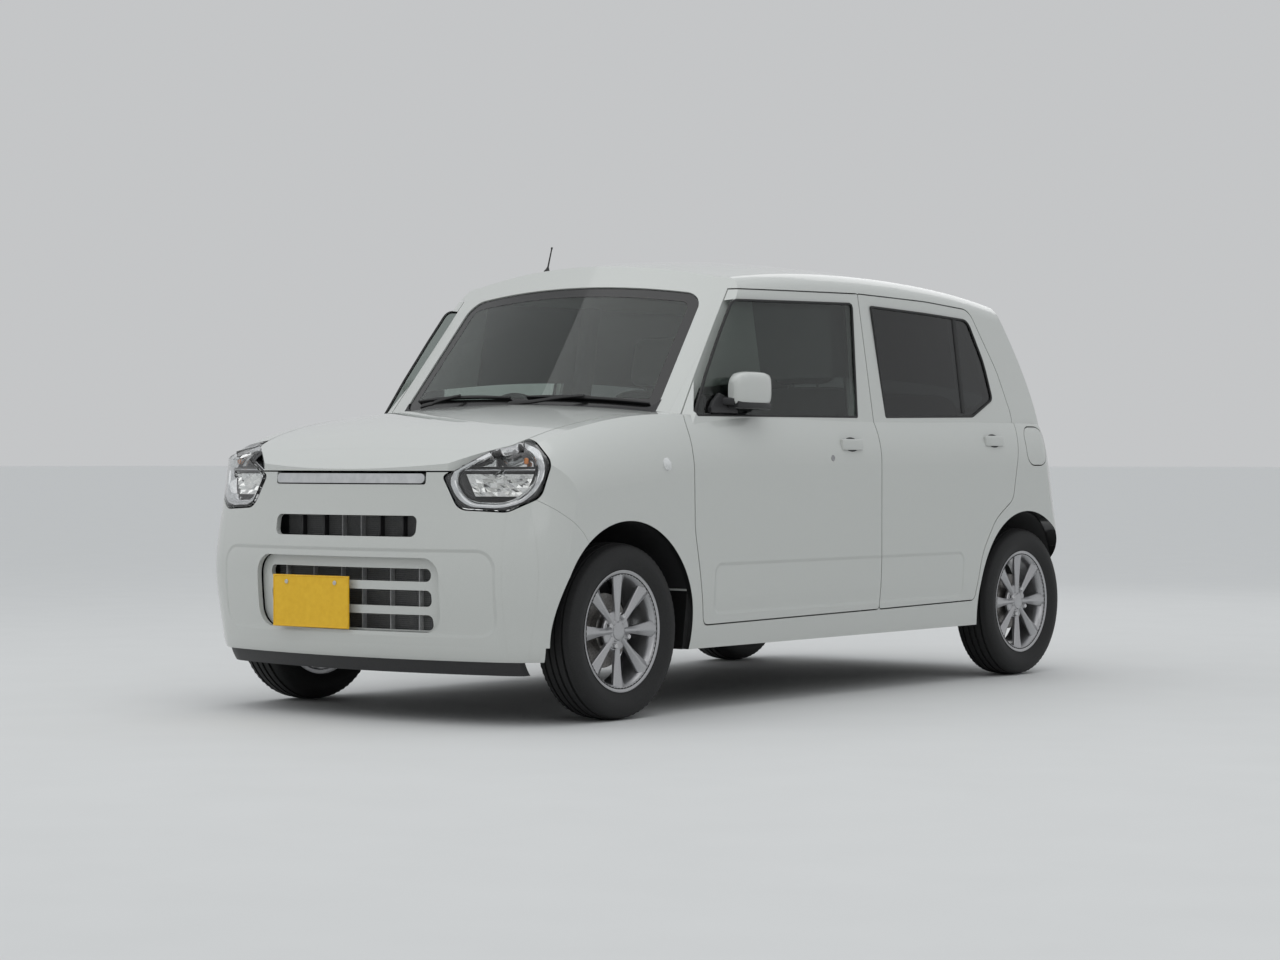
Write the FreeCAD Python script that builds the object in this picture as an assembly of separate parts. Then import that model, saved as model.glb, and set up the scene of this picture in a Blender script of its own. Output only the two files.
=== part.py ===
"""A small five-door hatchback of the kei class, as an assembly of its real panels and running gear.

While it is drawn, Y runs rearwards from the front axle, X to the car's left and Z up from the road,
and everything is in millimetres. Each piece is moved to the car's own frame when it is written:
the origin is on the road, midway along the car's length, with the nose towards -Y.
"""

import FreeCAD
import Part
import functools
import math
import os

V = FreeCAD.Vector

# Driving dimensions of the whole car
overall_length = 3395.0
overall_height = 1525.0
half_width = 737.5
wheelbase = 2460.0
front_overhang = 540.0
track_front = 1295.0
track_rear = 1300.0
tyre_radius = 278.5
tyre_width = 155.0
bead_radius = 178.0
flange_radius = 194.0
rim_width = 127.0
flange_thickness = 3.5
arch_radius_front = 345.0
arch_radius_rear = 343.0
shut_gap = 4.5
rear_end = overall_length - front_overhang

# Wall thicknesses of the shell
door_wall = 78.0
frame_wall = 44.0
roof_wall = 32.0
fender_wall = 18.0
bumper_wall = 18.0
hood_wall = 20.0
floor_wall = 24.0
glass_wall = 4.0
glass_sink = 5.0
seat_clearance = 0.3

# Heights of the side
sill_height = 205.0
belt_height = 952.0
floor_height = 236.0


# Shapes from outlines


def rounded(points, to_space):
    """A closed wire through (a, b, corner radius) points, each corner an arc tangent to its sides."""
    count = len(points)
    ends = []
    for i in range(count):
        a, b, radius = points[i]
        pa, pb = points[i - 1][:2]
        na, nb = points[(i + 1) % count][:2]
        if radius == 0:
            ends.append(((a, b), None, (a, b)))
            continue
        u = (pa - a, pb - b)
        w = (na - a, nb - b)
        lu, lw = math.hypot(*u), math.hypot(*w)
        u, w = (u[0] / lu, u[1] / lu), (w[0] / lw, w[1] / lw)
        half_angle = math.acos(max(-1.0, min(1.0, u[0] * w[0] + u[1] * w[1]))) / 2
        reach = radius / math.tan(half_angle)
        bis = (u[0] + w[0], u[1] + w[1])
        lb = math.hypot(*bis)
        out = radius / math.sin(half_angle) - radius
        start = (a + u[0] * reach, b + u[1] * reach)
        end = (a + w[0] * reach, b + w[1] * reach)
        middle = (a + bis[0] / lb * out, b + bis[1] / lb * out)
        ends.append((start, middle, end))
    edges = []
    for i in range(count):
        start, middle, end = ends[i]
        if middle:
            edges.append(Part.Arc(to_space(*start), to_space(*middle), to_space(*end)).toShape())
        after = ends[(i + 1) % count][0]
        if math.hypot(after[0] - end[0], after[1] - end[1]) > 1e-6:
            edges.append(Part.makeLine(to_space(*end), to_space(*after)))
    return Part.Wire(edges)


def slab_x(points, x0, x1):
    """A side-view outline of (y, z, radius) points, extruded across the car from x0 to x1."""
    wire = rounded(points, lambda a, b: V(x0, a, b))
    return Part.Face(wire).extrude(V(x1 - x0, 0, 0))


def slab_y(points, y0, y1):
    """A front-view outline of (x, z, radius) points, extruded along the car from y0 to y1."""
    wire = rounded(points, lambda a, b: V(a, y0, b))
    return Part.Face(wire).extrude(V(0, y1 - y0, 0))


def slab_z(points, z0, z1):
    """A plan outline of (x, y, radius) points, extruded upwards from z0 to z1."""
    wire = rounded(points, lambda a, b: V(a, b, z0))
    return Part.Face(wire).extrude(V(0, 0, z1 - z0))


def box(x0, x1, y0, y1, z0, z1):
    return Part.makeBox(x1 - x0, y1 - y0, z1 - z0, V(x0, y0, z0))


def rod(start, end, radius):
    """A round bar between two points."""
    start, end = V(*start), V(*end)
    return Part.makeCylinder(radius, (end - start).Length, start, end - start)


def disc_x(x0, x1, y, z, radius):
    return Part.makeCylinder(radius, x1 - x0, V(x0, y, z), V(1, 0, 0))


def mirrored(shape):
    """The same piece on the car's other side."""
    return shape.mirror(V(0, 0, 0), V(1, 0, 0))


def grown(points, gap):
    """The outline moved outwards by gap, for the hole that a panel closes."""
    middle_a = sum(p[0] for p in points) / len(points)
    middle_b = sum(p[1] for p in points) / len(points)
    turn = 0.0
    for i in range(len(points)):
        a, b = points[i - 1][:2], points[i][:2]
        turn += (a[0] - middle_a) * (b[1] - middle_b) - (b[0] - middle_a) * (a[1] - middle_b)
    side = 1.0 if turn > 0 else -1.0
    result = []
    for i in range(len(points)):
        p, q, r = points[i - 1], points[i], points[(i + 1) % len(points)]
        u = (q[0] - p[0], q[1] - p[1])
        w = (r[0] - q[0], r[1] - q[1])
        lu, lw = math.hypot(*u), math.hypot(*w)
        nu = (side * u[1] / lu, -side * u[0] / lu)
        nw = (side * w[1] / lw, -side * w[0] / lw)
        scale = gap / (1 + nu[0] * nw[0] + nu[1] * nw[1])
        radius = q[2]
        if radius > 0:
            convex = side * (u[0] * w[1] - u[1] * w[0]) > 0
            radius = max(radius + (gap if convex else -gap), 0.5)
        result.append((q[0] + (nu[0] + nw[0]) * scale, q[1] + (nu[1] + nw[1]) * scale, radius))
    return result


# The body's outer form: plan outlines stacked in height, under a top made of cross-sections

# z, nose distance, half width, nose radius, front corner, tail distance, tail radius, rear corner
LOWER_WATERLINES = (
    (150, 488, 702, 2050, 190, 2796, 2600, 150),
    (280, 524, 724, 2150, 196, 2836, 2600, 138),
    (410, 538, 737, 2200, 200, 2852, 2600, 131),
    (540, 536, 741, 2150, 204, 2849, 2600, 138),
    (670, 521, 741, 1950, 213, 2828, 2600, 156),
    (800, 508, 740, 1850, 224, 2806, 2600, 170),
    (930, 500, 716, 1800, 230, 2781, 2600, 164),
    (1060, 494, 680, 1800, 230, 2744, 2600, 150),
)
UPPER_WATERLINES = (
    (880, 500, 714, 1800, 230, 2790, 2600, 165),
    (1060, 495, 689, 1800, 230, 2738, 2600, 150),
    (1230, 480, 662, 1800, 230, 2650, 2600, 140),
    (1400, 460, 636, 1800, 230, 2530, 2600, 130),
    (1560, 440, 611, 1800, 230, 2400, 2600, 120),
)


def corner(half, reach, big, small):
    """Where a corner arc's centre lies, and its tangent point on the end arc, for an end at y = reach."""
    drop = math.sqrt((big - small) ** 2 - (half - small) ** 2)
    centre_y = reach - big + drop
    length = big - small
    return centre_y, ((half - small) * big / length, reach - big + drop * big / length)


def waterline(row, inset):
    """One closed plan outline, moved inwards by inset."""
    z, nose, half, nose_r, front_r, tail, tail_r, rear_r = row
    nose, half, tail = nose - inset, half - inset, tail - inset
    nose_r, front_r = nose_r - inset, max(front_r - inset, 20.0)
    tail_r, rear_r = tail_r - inset, max(rear_r - inset, 20.0)
    front_y, front_t = corner(half, nose, nose_r, front_r)
    rear_y, rear_t = corner(half, tail, tail_r, rear_r)

    def bulge(centre_x, centre_y, radius, tangent):
        bx = (tangent[0] - centre_x) / radius + 1.0
        by = (tangent[1] - centre_y) / radius
        length = math.hypot(bx, by)
        return centre_x + radius * bx / length, centre_y + radius * by / length

    front_mid = bulge(half - front_r, front_y, front_r, front_t)
    rear_mid = bulge(half - rear_r, rear_y, rear_r, rear_t)
    left = (
        ((front_t[0], -front_t[1]), (front_mid[0], -front_mid[1]), (half, -front_y)),
        ((half, -front_y), None, (half, rear_y)),
        ((half, rear_y), rear_mid, rear_t),
    )

    def edge(start, middle, end):
        if middle is None:
            return Part.makeLine(V(*start, z), V(*end, z))
        return Part.Arc(V(*start, z), V(*middle, z), V(*end, z)).toShape()

    edges = [edge(*piece) for piece in left]
    edges.append(edge(rear_t, (0, tail), (-rear_t[0], rear_t[1])))
    for start, middle, end in reversed(left):
        middle = (-middle[0], middle[1]) if middle else None
        edges.append(edge((-end[0], end[1]), middle, (-start[0], start[1])))
    edges.append(edge((-front_t[0], -front_t[1]), (0, -nose), (front_t[0], -front_t[1])))
    return Part.Wire(edges)


@functools.cache
def plan_form(rows, inset=0.0):
    """Sides, nose and tail of the car as one stack of waterlines."""
    return Part.makeLoft([waterline(row, inset) for row in rows], True, False)


# y, shoulder height, shoulder width, edge height, crown height, for the hood and the waist behind it
HOOD_SECTIONS = (
    (-640, 560, 128, 690, 712),
    (-470, 628, 124, 788, 810),
    (-300, 690, 116, 868, 892),
    (-100, 728, 108, 920, 946),
    (120, 752, 98, 952, 982),
    (320, 775, 74, 962, 1002),
    (540, 795, 50, 956, 992),
)
waist_row = (800, 38, 954, 990)
waist_rows = 10
waist_start, waist_end = 800.0, 3000.0


def half_loop(points, y):
    """A closed section made of a left half and its mirror image: (x, z) or (x, z, arc middle) points."""
    edges, here = [], V(points[0][0], y, points[0][1])
    for point in points[1:]:
        there = V(point[0], y, point[1])
        if len(point) == 2:
            edges.append(Part.makeLine(here, there))
        else:
            edges.append(Part.Arc(here, V(point[2], y, point[3]), there).toShape())
        here = there
    other = []
    for point, before in zip(reversed(points[1:]), reversed(points[:-1])):
        start, end = V(-point[0], y, point[1]), V(-before[0], y, before[1])
        if len(point) == 2:
            other.append(Part.makeLine(start, end))
        else:
            other.append(Part.Arc(start, V(-point[2], y, point[3]), end).toShape())
    return Part.Wire(edges + other)


def upright_arc(width, height):
    """The middle of an arc that starts straight up and ends width inwards and height above its start."""
    radius = (width * width + height * height) / (2 * width)
    half_turn = math.atan2(height, radius - width) / 2
    return radius * (1 - math.cos(half_turn)), radius * math.sin(half_turn)


@functools.cache
def hood_form(side=0.0, top=0.0):
    """Everything below the hood and the waist line, with rounded shoulders."""
    outside = half_width - side
    sections = []
    step = (waist_end - waist_start) / (waist_rows - 1)
    waist = [(waist_start + i * step, *waist_row) for i in range(waist_rows)]
    for y, shoulder_z, shoulder_w, edge_z, crown_z in (*HOOD_SECTIONS, *waist):
        edge_x = outside - shoulder_w
        edge_z, crown_z = edge_z - top, crown_z - top
        mid_in, mid_up = upright_arc(shoulder_w, edge_z - shoulder_z)
        profile = (
            (0, 120),
            (outside - 38, 120),
            (outside, 480, outside - 10, 300),
            (outside, shoulder_z),
            (edge_x, edge_z, outside - mid_in, shoulder_z + mid_up),
            (0, crown_z, edge_x * 0.55, crown_z - (crown_z - edge_z) * 0.32),
        )
        sections.append(half_loop(profile, y))
    return Part.makeLoft(sections, True, False)


# y, crown height, rail half width, waist half width, for the roof and the glass house
ROOF_SECTIONS = (
    (150, 1395, 608, 686),
    (560, 1462, 620, 694),
    (950, 1508, 630, 700),
    (1400, 1525, 634, 702),
    (1900, 1514, 630, 701),
    (2300, 1484, 618, 696),
    (2600, 1444, 602, 686),
    (2900, 1392, 582, 672),
)
waist_height = 952.0
rail_drop = 126.0
roof_corner_width = 92.0
roof_corner_drop = 58.0


@functools.cache
def roof_form(side=0.0, top=0.0):
    """Roof and glass house: leaning sides, a rounded corner and a crowned top."""
    sections = []
    for y, crown_z, rail_x, waist_x in ROOF_SECTIONS:
        rail_x, waist_x, crown_z = rail_x - side, waist_x - side, crown_z - top
        rail_z = crown_z - rail_drop
        lean = (waist_x - rail_x) / (rail_z - waist_height)
        foot_z = 880
        edge_x = rail_x - roof_corner_width
        edge_z = crown_z - roof_corner_drop
        corner_x = rail_x - 0.24 * roof_corner_width
        corner_z = rail_z + 0.64 * (edge_z - rail_z)
        profile = (
            (0, foot_z),
            (waist_x + lean * (waist_height - foot_z), foot_z),
            (rail_x, rail_z),
            (edge_x, edge_z, corner_x, corner_z),
            (0, crown_z, edge_x * 0.55, crown_z - roof_corner_drop * 0.30),
        )
        sections.append(half_loop(profile, y))
    return Part.makeLoft(sections, True, False)


# The windshield lies on a cylinder whose axis leans back with the glass
glass_foot = (292.0, 985.0)
glass_head = (655.0, 1412.0)
glass_plan_radius = 2300.0


def windshield_form(inset=0.0):
    """The round column behind the windshield's curved face."""
    run = V(0, glass_head[0] - glass_foot[0], glass_head[1] - glass_foot[1])
    run.normalize()
    back = V(0, run.z, -run.y)
    foot = V(0, glass_foot[0], glass_foot[1]) + back * glass_plan_radius
    return Part.makeCylinder(glass_plan_radius - inset, 3000, foot - run * 900, run)


@functools.cache
def lower_form(side=0.0, top=None):
    """The body below the waist, moved inwards by side round its sides and by top under its skin."""
    return plan_form(LOWER_WATERLINES, side).common(hood_form(side, side if top is None else top))


@functools.cache
def upper_form(side=0.0, top=None, glass=None):
    """Roof and glass house, moved inwards in the same way."""
    house = roof_form(side, side if top is None else top)
    house = house.common(windshield_form(side if glass is None else glass))
    return house.common(plan_form(UPPER_WATERLINES, side))


@functools.cache
def whole_form(inset=0.0):
    """The whole outer form, moved inwards by inset."""
    return lower_form(inset).fuse(upper_form(inset))


# Outlines of the openings, as (y, z, corner radius) in side view

front_door_front = (
    (408, 282, 24),
    (346, 590, 300),
    (341, 835, 120),
    (352, 935, 160),
    (498, 1148, 600),
    (628, 1300, 400),
    (690, 1384, 70),
)
pillar_y = 1445.0
FRONT_DOOR = (
    *front_door_front,
    (pillar_y - shut_gap / 2, 1399, 6),
    (pillar_y - shut_gap / 2, 292, 12),
)
REAR_DOOR = (
    (pillar_y + shut_gap / 2, 292, 12),
    (pillar_y + shut_gap / 2, 1399, 6),
    (1903, 1391, 900),
    (2222, 1374, 90),
    (2366, 1150, 300),
    (2425, 975, 150),
    (2382, 800, 200),
    (2352, 668, 60),
    (2225, 596, 200),
    (2128, 470, 200),
    (2088, 300, 24),
)
FRONT_WINDOW = (
    (404, 956, 12),
    (498, 1098, 600),
    (598, 1232, 300),
    (692, 1350, 60),
    (1396, 1366, 16),
    (1348, 961, 8),
)
REAR_WINDOW = (
    (1526, 963, 8),
    (1512, 1361, 8),
    (1893, 1350, 900),
    (2188, 1338, 60),
    (2270, 1180, 300),
    (2298, 1040, 24),
    (2130, 972, 60),
)
WINDSHIELD = ((556, 56, 50), (511, 556, 70), (-511, 556, 70), (-556, 56, 50), (0, -8, 2600))
TAIL_WINDOW = ((488, 1020, 60), (440, 1388, 60), (-440, 1388, 60), (-488, 1020, 60))
TAILGATE = ((572, 640, 40), (578, 940, 200), (520, 1436, 60), (-520, 1436, 60), (-578, 940, 200), (-572, 640, 40))
FUEL_FLAP = ((2463, 797, 50), (2463, 939, 50), (2609, 939, 50), (2609, 797, 50))

# Panel boundaries
bumper_top = 776.0
hood_outline = (
    (0, 208, 3800),
    (-600, 300, 12),
    (-578, -60, 900),
    (-562, -262, 300),
    (-545, -335, 60),
    (-372, -486, 30),
    (-372, -600, 0),
    (372, -600, 0),
    (372, -486, 30),
    (545, -335, 60),
    (562, -262, 300),
    (578, -60, 900),
    (600, 300, 12),
)
bumper_cut = ((-450, bumper_top, 0), (-415, 716, 10), (-344, 669, 300), (-233, 594, 60), (-150, 500, 0))
front_wall = 352.0
front_wall_thickness = 26.0
roof_side = 546.0
roof_front = 640.0
sill_inner = 636.0
tail_wall_y = 2800.0
rear_floor_start = 1920.0
rear_floor_height = 425.0
rear_floor_wall = 24.0
well_inner = 452.0
well_wall = 22.0
door_skin = 14.0
door_return = 18.0

beyond = 1000.0


def left_only(shape):
    return shape.common(box(0, beyond, -beyond, 4000, -100, 2000))


# Hollows inside the outer form

print("outer form")
outer = whole_form()

print("hollows")
low_core = lower_form(door_wall, 0.0).fuse(upper_form(door_wall))
low_core = low_core.common(
    box(-900, 900, front_wall, rear_floor_start, floor_height + 24, belt_height).fuse(
        box(-900, 900, rear_floor_start - 1, 2900, rear_floor_height + rear_floor_wall, belt_height)
    )
)
high_core = upper_form(frame_wall, roof_wall, frame_wall - 8)
high_core = high_core.common(box(-900, 900, 100, 3000, belt_height - 10, 1700))
cabin = low_core.fuse(high_core)
for side in (1, -1):
    x0 = well_inner if side > 0 else -800
    cabin = cabin.cut(disc_x(x0, x0 + 800 - well_inner, wheelbase, tyre_radius, arch_radius_rear + well_wall))

under = box(-900, 900, -900, 3200, 0, sill_height).fuse(
    box(-well_inner - well_wall, well_inner + well_wall, rear_floor_start, tail_wall_y, 100, rear_floor_height)
)
wells = []
for side in (1, -1):
    x0 = 398 if side > 0 else -800
    wells.append(disc_x(x0, x0 + 402, 0, tyre_radius, arch_radius_front))
    x0 = well_inner + well_wall if side > 0 else -800
    wells.append(disc_x(x0, x0 + 800 - well_inner - well_wall, wheelbase, tyre_radius, arch_radius_rear))

ahead = box(-900, 900, -900, front_wall - front_wall_thickness, 0, 1700)
shell = outer.cut([cabin, ahead, under, *wells[1::2]])
print("shell", shell.isValid(), len(shell.Solids), shell.Volume / 1e9)

half = left_only(shell)
offset_y = -(overall_length / 2 - front_overhang)
os.makedirs("parts", exist_ok=True)
written = {}


def write(name, shape):
    """Move a piece to the car's own frame and write it as one node."""
    solids = shape.Solids
    shape = solids[0] if len(solids) == 1 else Part.makeCompound(solids)
    shape = shape.copy()
    shape.translate(V(0, offset_y, 0))
    shape.exportStep("parts/" + name + ".step")
    written[name] = shape
    print(name, len(solids), shape.isValid(), round(shape.Volume / 1e6, 3))


def pair(name, shape):
    """Write a left-hand piece and its mirror image."""
    write(name + "_left", shape)
    write(name + "_right", mirrored(shape))


def biggest(shape):
    """Drop the slivers that a cut leaves beside the real piece."""
    return max(shape.Solids, key=lambda solid: solid.Volume)


# Front panels

side_x = (300, 900)
hood_zone = slab_z(hood_outline, bumper_top + shut_gap, 1100)
hood_hole = slab_z(grown(hood_outline, shut_gap), bumper_top, 1100)
lamp_outline = (
    (-14, 763, 10),
    (192, 878, 30),
    (262, 874, 40),
    (314, 806, 40),
    (282, 702, 50),
    (180, 657, 70),
    (32, 664, 40),
)
lamp_heading = math.radians(40.3)
lamp_gap = 4.0


def lamp_prism(points, near=380.0, far=900.0):
    """A prism through the front corner, square to the lamp's heading."""
    across = V(math.cos(lamp_heading), math.sin(lamp_heading), 0)
    ahead = V(math.sin(lamp_heading), -math.cos(lamp_heading), 0)
    wire = rounded(points, lambda u, z: across * u + V(0, 0, z) + ahead * near)
    return Part.Face(wire).extrude(ahead * (far - near))


lamp_hole = lamp_prism(grown(lamp_outline, lamp_gap))
lamp_depth = 110.0
lamp = left_only(lower_form()).common(lamp_prism(lamp_outline))
lamp = lamp.cut([lower_form(lamp_depth), hood_hole, wells[0]])
write("headlamps", Part.makeCompound([biggest(lamp), mirrored(biggest(lamp))]))

bumper_side = (
    (-900, 150, 0),
    (-900, bumper_top, 0),
    *bumper_cut,
    (-150, 150, 0),
)
bumper_zone = slab_x(bumper_side, -900, 900)
bumper_hole = slab_x(grown(bumper_side, 1.0), -900, 900)
lamp_holes = [lamp_hole, mirrored(lamp_hole)]
grille_recess = ((-389, 283, 60), (-389, 513, 60), (389, 513, 60), (389, 283, 60))
upper_slot = ((-300, 577, 20), (-300, 642, 20), (300, 642, 20), (300, 577, 20))
bright_slot = ((-320, 738, 8), (-320, bumper_top + 10, 0), (320, bumper_top + 10, 0), (320, 738, 8))
air_dam_top = 262.0
bumper = lower_form().common(bumper_zone).cut(
    [
        lower_form(bumper_wall),
        hood_hole,
        *wells[::2],
        *lamp_holes,
        slab_y(grille_recess, -700, -380),
        slab_y(upper_slot, -700, -380),
        slab_y(bright_slot, -700, -380),
        box(-900, 900, -900, -150, 0, air_dam_top - 20),
    ]
)
write("front_bumper", biggest(bumper))

cowl_side = 600.0
fender_zone = box(300, 900, -460, front_wall + 60, 150, 1100)
fender_zone = fender_zone.cut(box(0, cowl_side + seat_clearance, 180, 500, 850, 1100))
wall_inner = half_width - door_wall - 4.0
frame_depth = left_only(roof_form(frame_wall + shut_gap, -60.0)).fuse(
    box(0, wall_inner - shut_gap, 0, 3000, 0, 900)
)
door_hole_front = slab_x(grown(FRONT_DOOR, shut_gap), *side_x).cut(frame_depth)
door_hole_rear = slab_x(grown(REAR_DOOR, shut_gap), *side_x).cut(frame_depth)
fender_skin = fender_zone.cut([lower_form(fender_wall), box(0, 900, front_wall, 500, 930, 1200), box(0, 900, 396, 500, 0, 400)])
fender = lower_form().common(fender_skin).cut([wells[0], bumper_hole, hood_hole, lamp_hole, door_hole_front])
fender = fender.cut([box(0, 900, -500, 0, 0, 500), box(0, 900, 0, 500, 0, sill_height)])
pair("front_fender", biggest(fender))

hood = lower_form().common(hood_zone).cut(lower_form(hood_wall))
hood = biggest(hood)
write("hood", hood)

# Glass areas

run = V(0, glass_head[0] - glass_foot[0], glass_head[1] - glass_foot[1]).normalize()
outward = V(0, -run.z, run.y)
foot_point = V(0, *glass_foot)


def windshield_prism(points):
    """A prism square to the windshield, from (x, distance up the glass) points."""
    wire = rounded(points, lambda x, up: foot_point + V(x, 0, 0) + run * up - outward * 260)
    return Part.Face(wire).extrude(outward * 400)


windshield_hole = windshield_prism(WINDSHIELD)
windshield = windshield_form(glass_sink).cut(windshield_form(glass_sink + glass_wall))
windshield = windshield.common(windshield_prism(grown(WINDSHIELD, -seat_clearance)))
windshield = biggest(windshield.common(roof_form(glass_sink, glass_sink)))
write("windshield", windshield)

side_layer = left_only(roof_form(glass_sink, -60.0).cut(roof_form(glass_sink + glass_wall, -60.0)))


def side_glass(outline):
    return biggest(side_layer.common(slab_x(grown(outline, -seat_clearance), *side_x)))


pair("front_door_glass", side_glass(FRONT_WINDOW))
pair("rear_door_glass", side_glass(REAR_WINDOW))

tail_hole = slab_y(TAIL_WINDOW, 2300, 3000)
tail_layer = plan_form(UPPER_WATERLINES, glass_sink).cut(plan_form(UPPER_WATERLINES, glass_sink + glass_wall))
tail_glass = tail_layer.common(slab_y(grown(TAIL_WINDOW, -seat_clearance), 2300, 3000))
write("tailgate_glass", biggest(tail_glass))

# Doors

skin_core = left_only(whole_form(door_skin))
frame_core = left_only(roof_form(frame_wall, -60.0)).fuse(box(0, wall_inner, 0, 3000, 0, 900))


def door(outline, window):
    """Outer skin out to the shut line, and the inner part set back from it."""
    whole = slab_x(outline, *side_x)
    inside = slab_x(grown(outline, -door_return), side_x[0] - 10, side_x[1] + 10)
    edge = whole.cut(inside).common(skin_core)
    return biggest(half.common(whole).cut([edge, frame_core, slab_x(window, *side_x)]))


pair("front_door", door(FRONT_DOOR, FRONT_WINDOW))
pair("rear_door", door(REAR_DOOR, REAR_WINDOW))

# Tail

tailgate_front = ((2478, 1500, 0), (2478, 1430, 0), (2640, 1080, 300), (2640, 560, 0), (3100, 560, 0), (3100, 1500, 0))
tailgate_zone = slab_y(TAILGATE, 2300, 3000).common(slab_x(tailgate_front, -900, 900))
tailgate_hole = slab_y(grown(TAILGATE, shut_gap), 2300, 3000)
tailgate_hole = tailgate_hole.common(slab_x(grown(tailgate_front, shut_gap), -900, 900))
inside = slab_y(grown(TAILGATE, -door_return), 2290, 3010)
tailgate_edge = tailgate_zone.cut(inside).common(whole_form(door_skin))
tailgate = shell.common(tailgate_zone).cut([tailgate_edge, tail_hole, box(-900, 900, 0, 2300, 0, 2000)])
write("tailgate", biggest(tailgate))

rear_bumper_top = 600.0
rear_bumper_side = (
    (3100, 150, 0),
    (3100, rear_bumper_top, 0),
    (2775, rear_bumper_top, 40),
    (2735, 480, 60),
    (2700, 150, 0),
)
rear_bumper_zone = slab_x(rear_bumper_side, -900, 900)
rear_bumper_hole = slab_x(grown(rear_bumper_side, 1.0), -900, 900)
rear_bumper_core = lower_form(bumper_wall)
rear_bumper = shell.common(rear_bumper_zone).cut(rear_bumper_core)
write("rear_bumper", biggest(rear_bumper))
bumper_skin_hole = rear_bumper_hole.cut(rear_bumper_core)

lamp_thickness = 60.0
tail_lamp_outline = ((583, 700, 30), (583, 1000, 40), (760, 1000, 40), (760, 740, 60))
tail_lamp_zone = slab_y(tail_lamp_outline, 2690, 3000)
tail_lamp = left_only(outer).common(tail_lamp_zone).cut(whole_form(lamp_thickness))
tail_lamp = biggest(tail_lamp)
write("tail_lamps", Part.makeCompound([tail_lamp, mirrored(tail_lamp)]))
tail_lamp_hole = slab_y(grown(tail_lamp_outline, 2.0), 2688, 3000).cut(
    whole_form(lamp_thickness + seat_clearance)
)

# Fixed body: sides, roof, floor and front frame

roof_zone = box(-roof_side, roof_side, 560, 2700, 1330, 1700)
floor_zone = box(-sill_inner, sill_inner, front_wall, 3000, 0, 646)
front_zone = box(-sill_inner, sill_inner, front_wall - front_wall_thickness, front_wall, 0, 1100)
cowl_zone = box(-cowl_side, cowl_side, 180, front_wall + 80, 900, 1012)
cowl_zone = cowl_zone.cut(box(556, 900, front_wall, 500, 900, 1100))
cowl_zone = cowl_zone.cut(box(-900, -556, front_wall, 500, 900, 1100))
flap_hole = slab_x(grown(FUEL_FLAP, shut_gap), 640, 900)
flap = half.common(slab_x(FUEL_FLAP, 640, 900)).cut(lower_form(6))
write("fuel_flap", biggest(flap))

side_panel = half.common(box(0, 900, front_wall - front_wall_thickness, 3200, 0, 1700)).cut(
    [
        fender_skin,
        door_hole_front,
        door_hole_rear,
        hood_hole,
        tailgate_hole,
        bumper_skin_hole,
        tail_lamp_hole,
        roof_zone,
        floor_zone,
        front_zone,
        cowl_zone,
        windshield_hole,
    ]
)
side_panel = biggest(side_panel)
flap_pocket = flap_hole.common(side_panel).cut(lower_form(40))
write("body_side_left", biggest(side_panel.cut(flap_pocket)))
write("body_side_right", mirrored(side_panel))

roof = shell.common(roof_zone).cut([windshield_hole, tailgate_hole])
write("roof_panel", biggest(roof))

door_holes = [door_hole_front, door_hole_rear]
door_holes += [mirrored(hole) for hole in door_holes]
floor_pan = shell.common(floor_zone).cut([bumper_skin_hole, tailgate_hole, *door_holes])
write("floor_pan", biggest(floor_pan))

cowl = outer.common(cowl_zone).cut([lower_form(hood_wall), hood_hole, windshield_hole, upper_form(frame_wall, roof_wall, frame_wall - 8)])
write("cowl", biggest(cowl))

# Front frame: bulkhead, aprons, side members and the panel that holds the radiator

member_inner, member_outer = 318.0, 380.0
apron_inner, apron_outer = 384.0, 396.0
frame_front_y = -432.0
bulkhead = biggest(shell.common(front_zone).cut([cowl_zone, hood_hole]))
frame = [bulkhead]
for side in (1, -1):
    x0, x1 = sorted((side * member_inner, side * member_outer))
    a0, a1 = sorted((side * (member_outer - 2), side * apron_outer))
    frame.append(box(x0, x1, frame_front_y, front_wall - 20, 335, 425))
    frame.append(box(a0, a1, -330, front_wall - 20, 335, 780))
    frame.append(box(x0, x1, frame_front_y, frame_front_y + 30, 210, 740))
    frame.append(box(x0, x1, frame_front_y - 32, frame_front_y + 2, 518, 570))
frame.append(box(-member_outer, member_outer, frame_front_y, frame_front_y + 30, 210, 245))
frame.append(box(-member_outer, member_outer, frame_front_y, frame_front_y + 30, 700, 740))
beam = lower_form(bumper_wall + seat_clearance).common(box(-470, 470, -560, frame_front_y - 30, 520, 570))
frame.append(beam)
front_frame = frame[0].fuse(frame[1:])
front_frame = front_frame.common(lower_form(fender_wall + seat_clearance, hood_wall + seat_clearance))
front_frame = front_frame.cut(lamp_holes)
write("front_frame", biggest(front_frame))

liner_outer = arch_radius_front + 6.0
liner = disc_x(apron_outer + seat_clearance, 800, 0, tyre_radius, liner_outer)
liner = liner.cut(disc_x(390, 900, 0, tyre_radius, arch_radius_front + 1.0))
liner = liner.common(box(0, 900, -332, front_wall - front_wall_thickness - 2, 225, 900))
liner = biggest(liner.common(lower_form(max(fender_wall, bumper_wall) + seat_clearance)))
write("wheel_liners", Part.makeCompound([liner, mirrored(liner)]))

# Front-end trim

bright_bar = lower_form(-2.0).common(slab_y(((-316, 742, 14), (-316, 772, 14), (316, 772, 14), (316, 742, 14)), -700, -400))
bright_bar = bright_bar.cut(lower_form(bumper_wall))
write("bright_bar", biggest(bright_bar))

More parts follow.
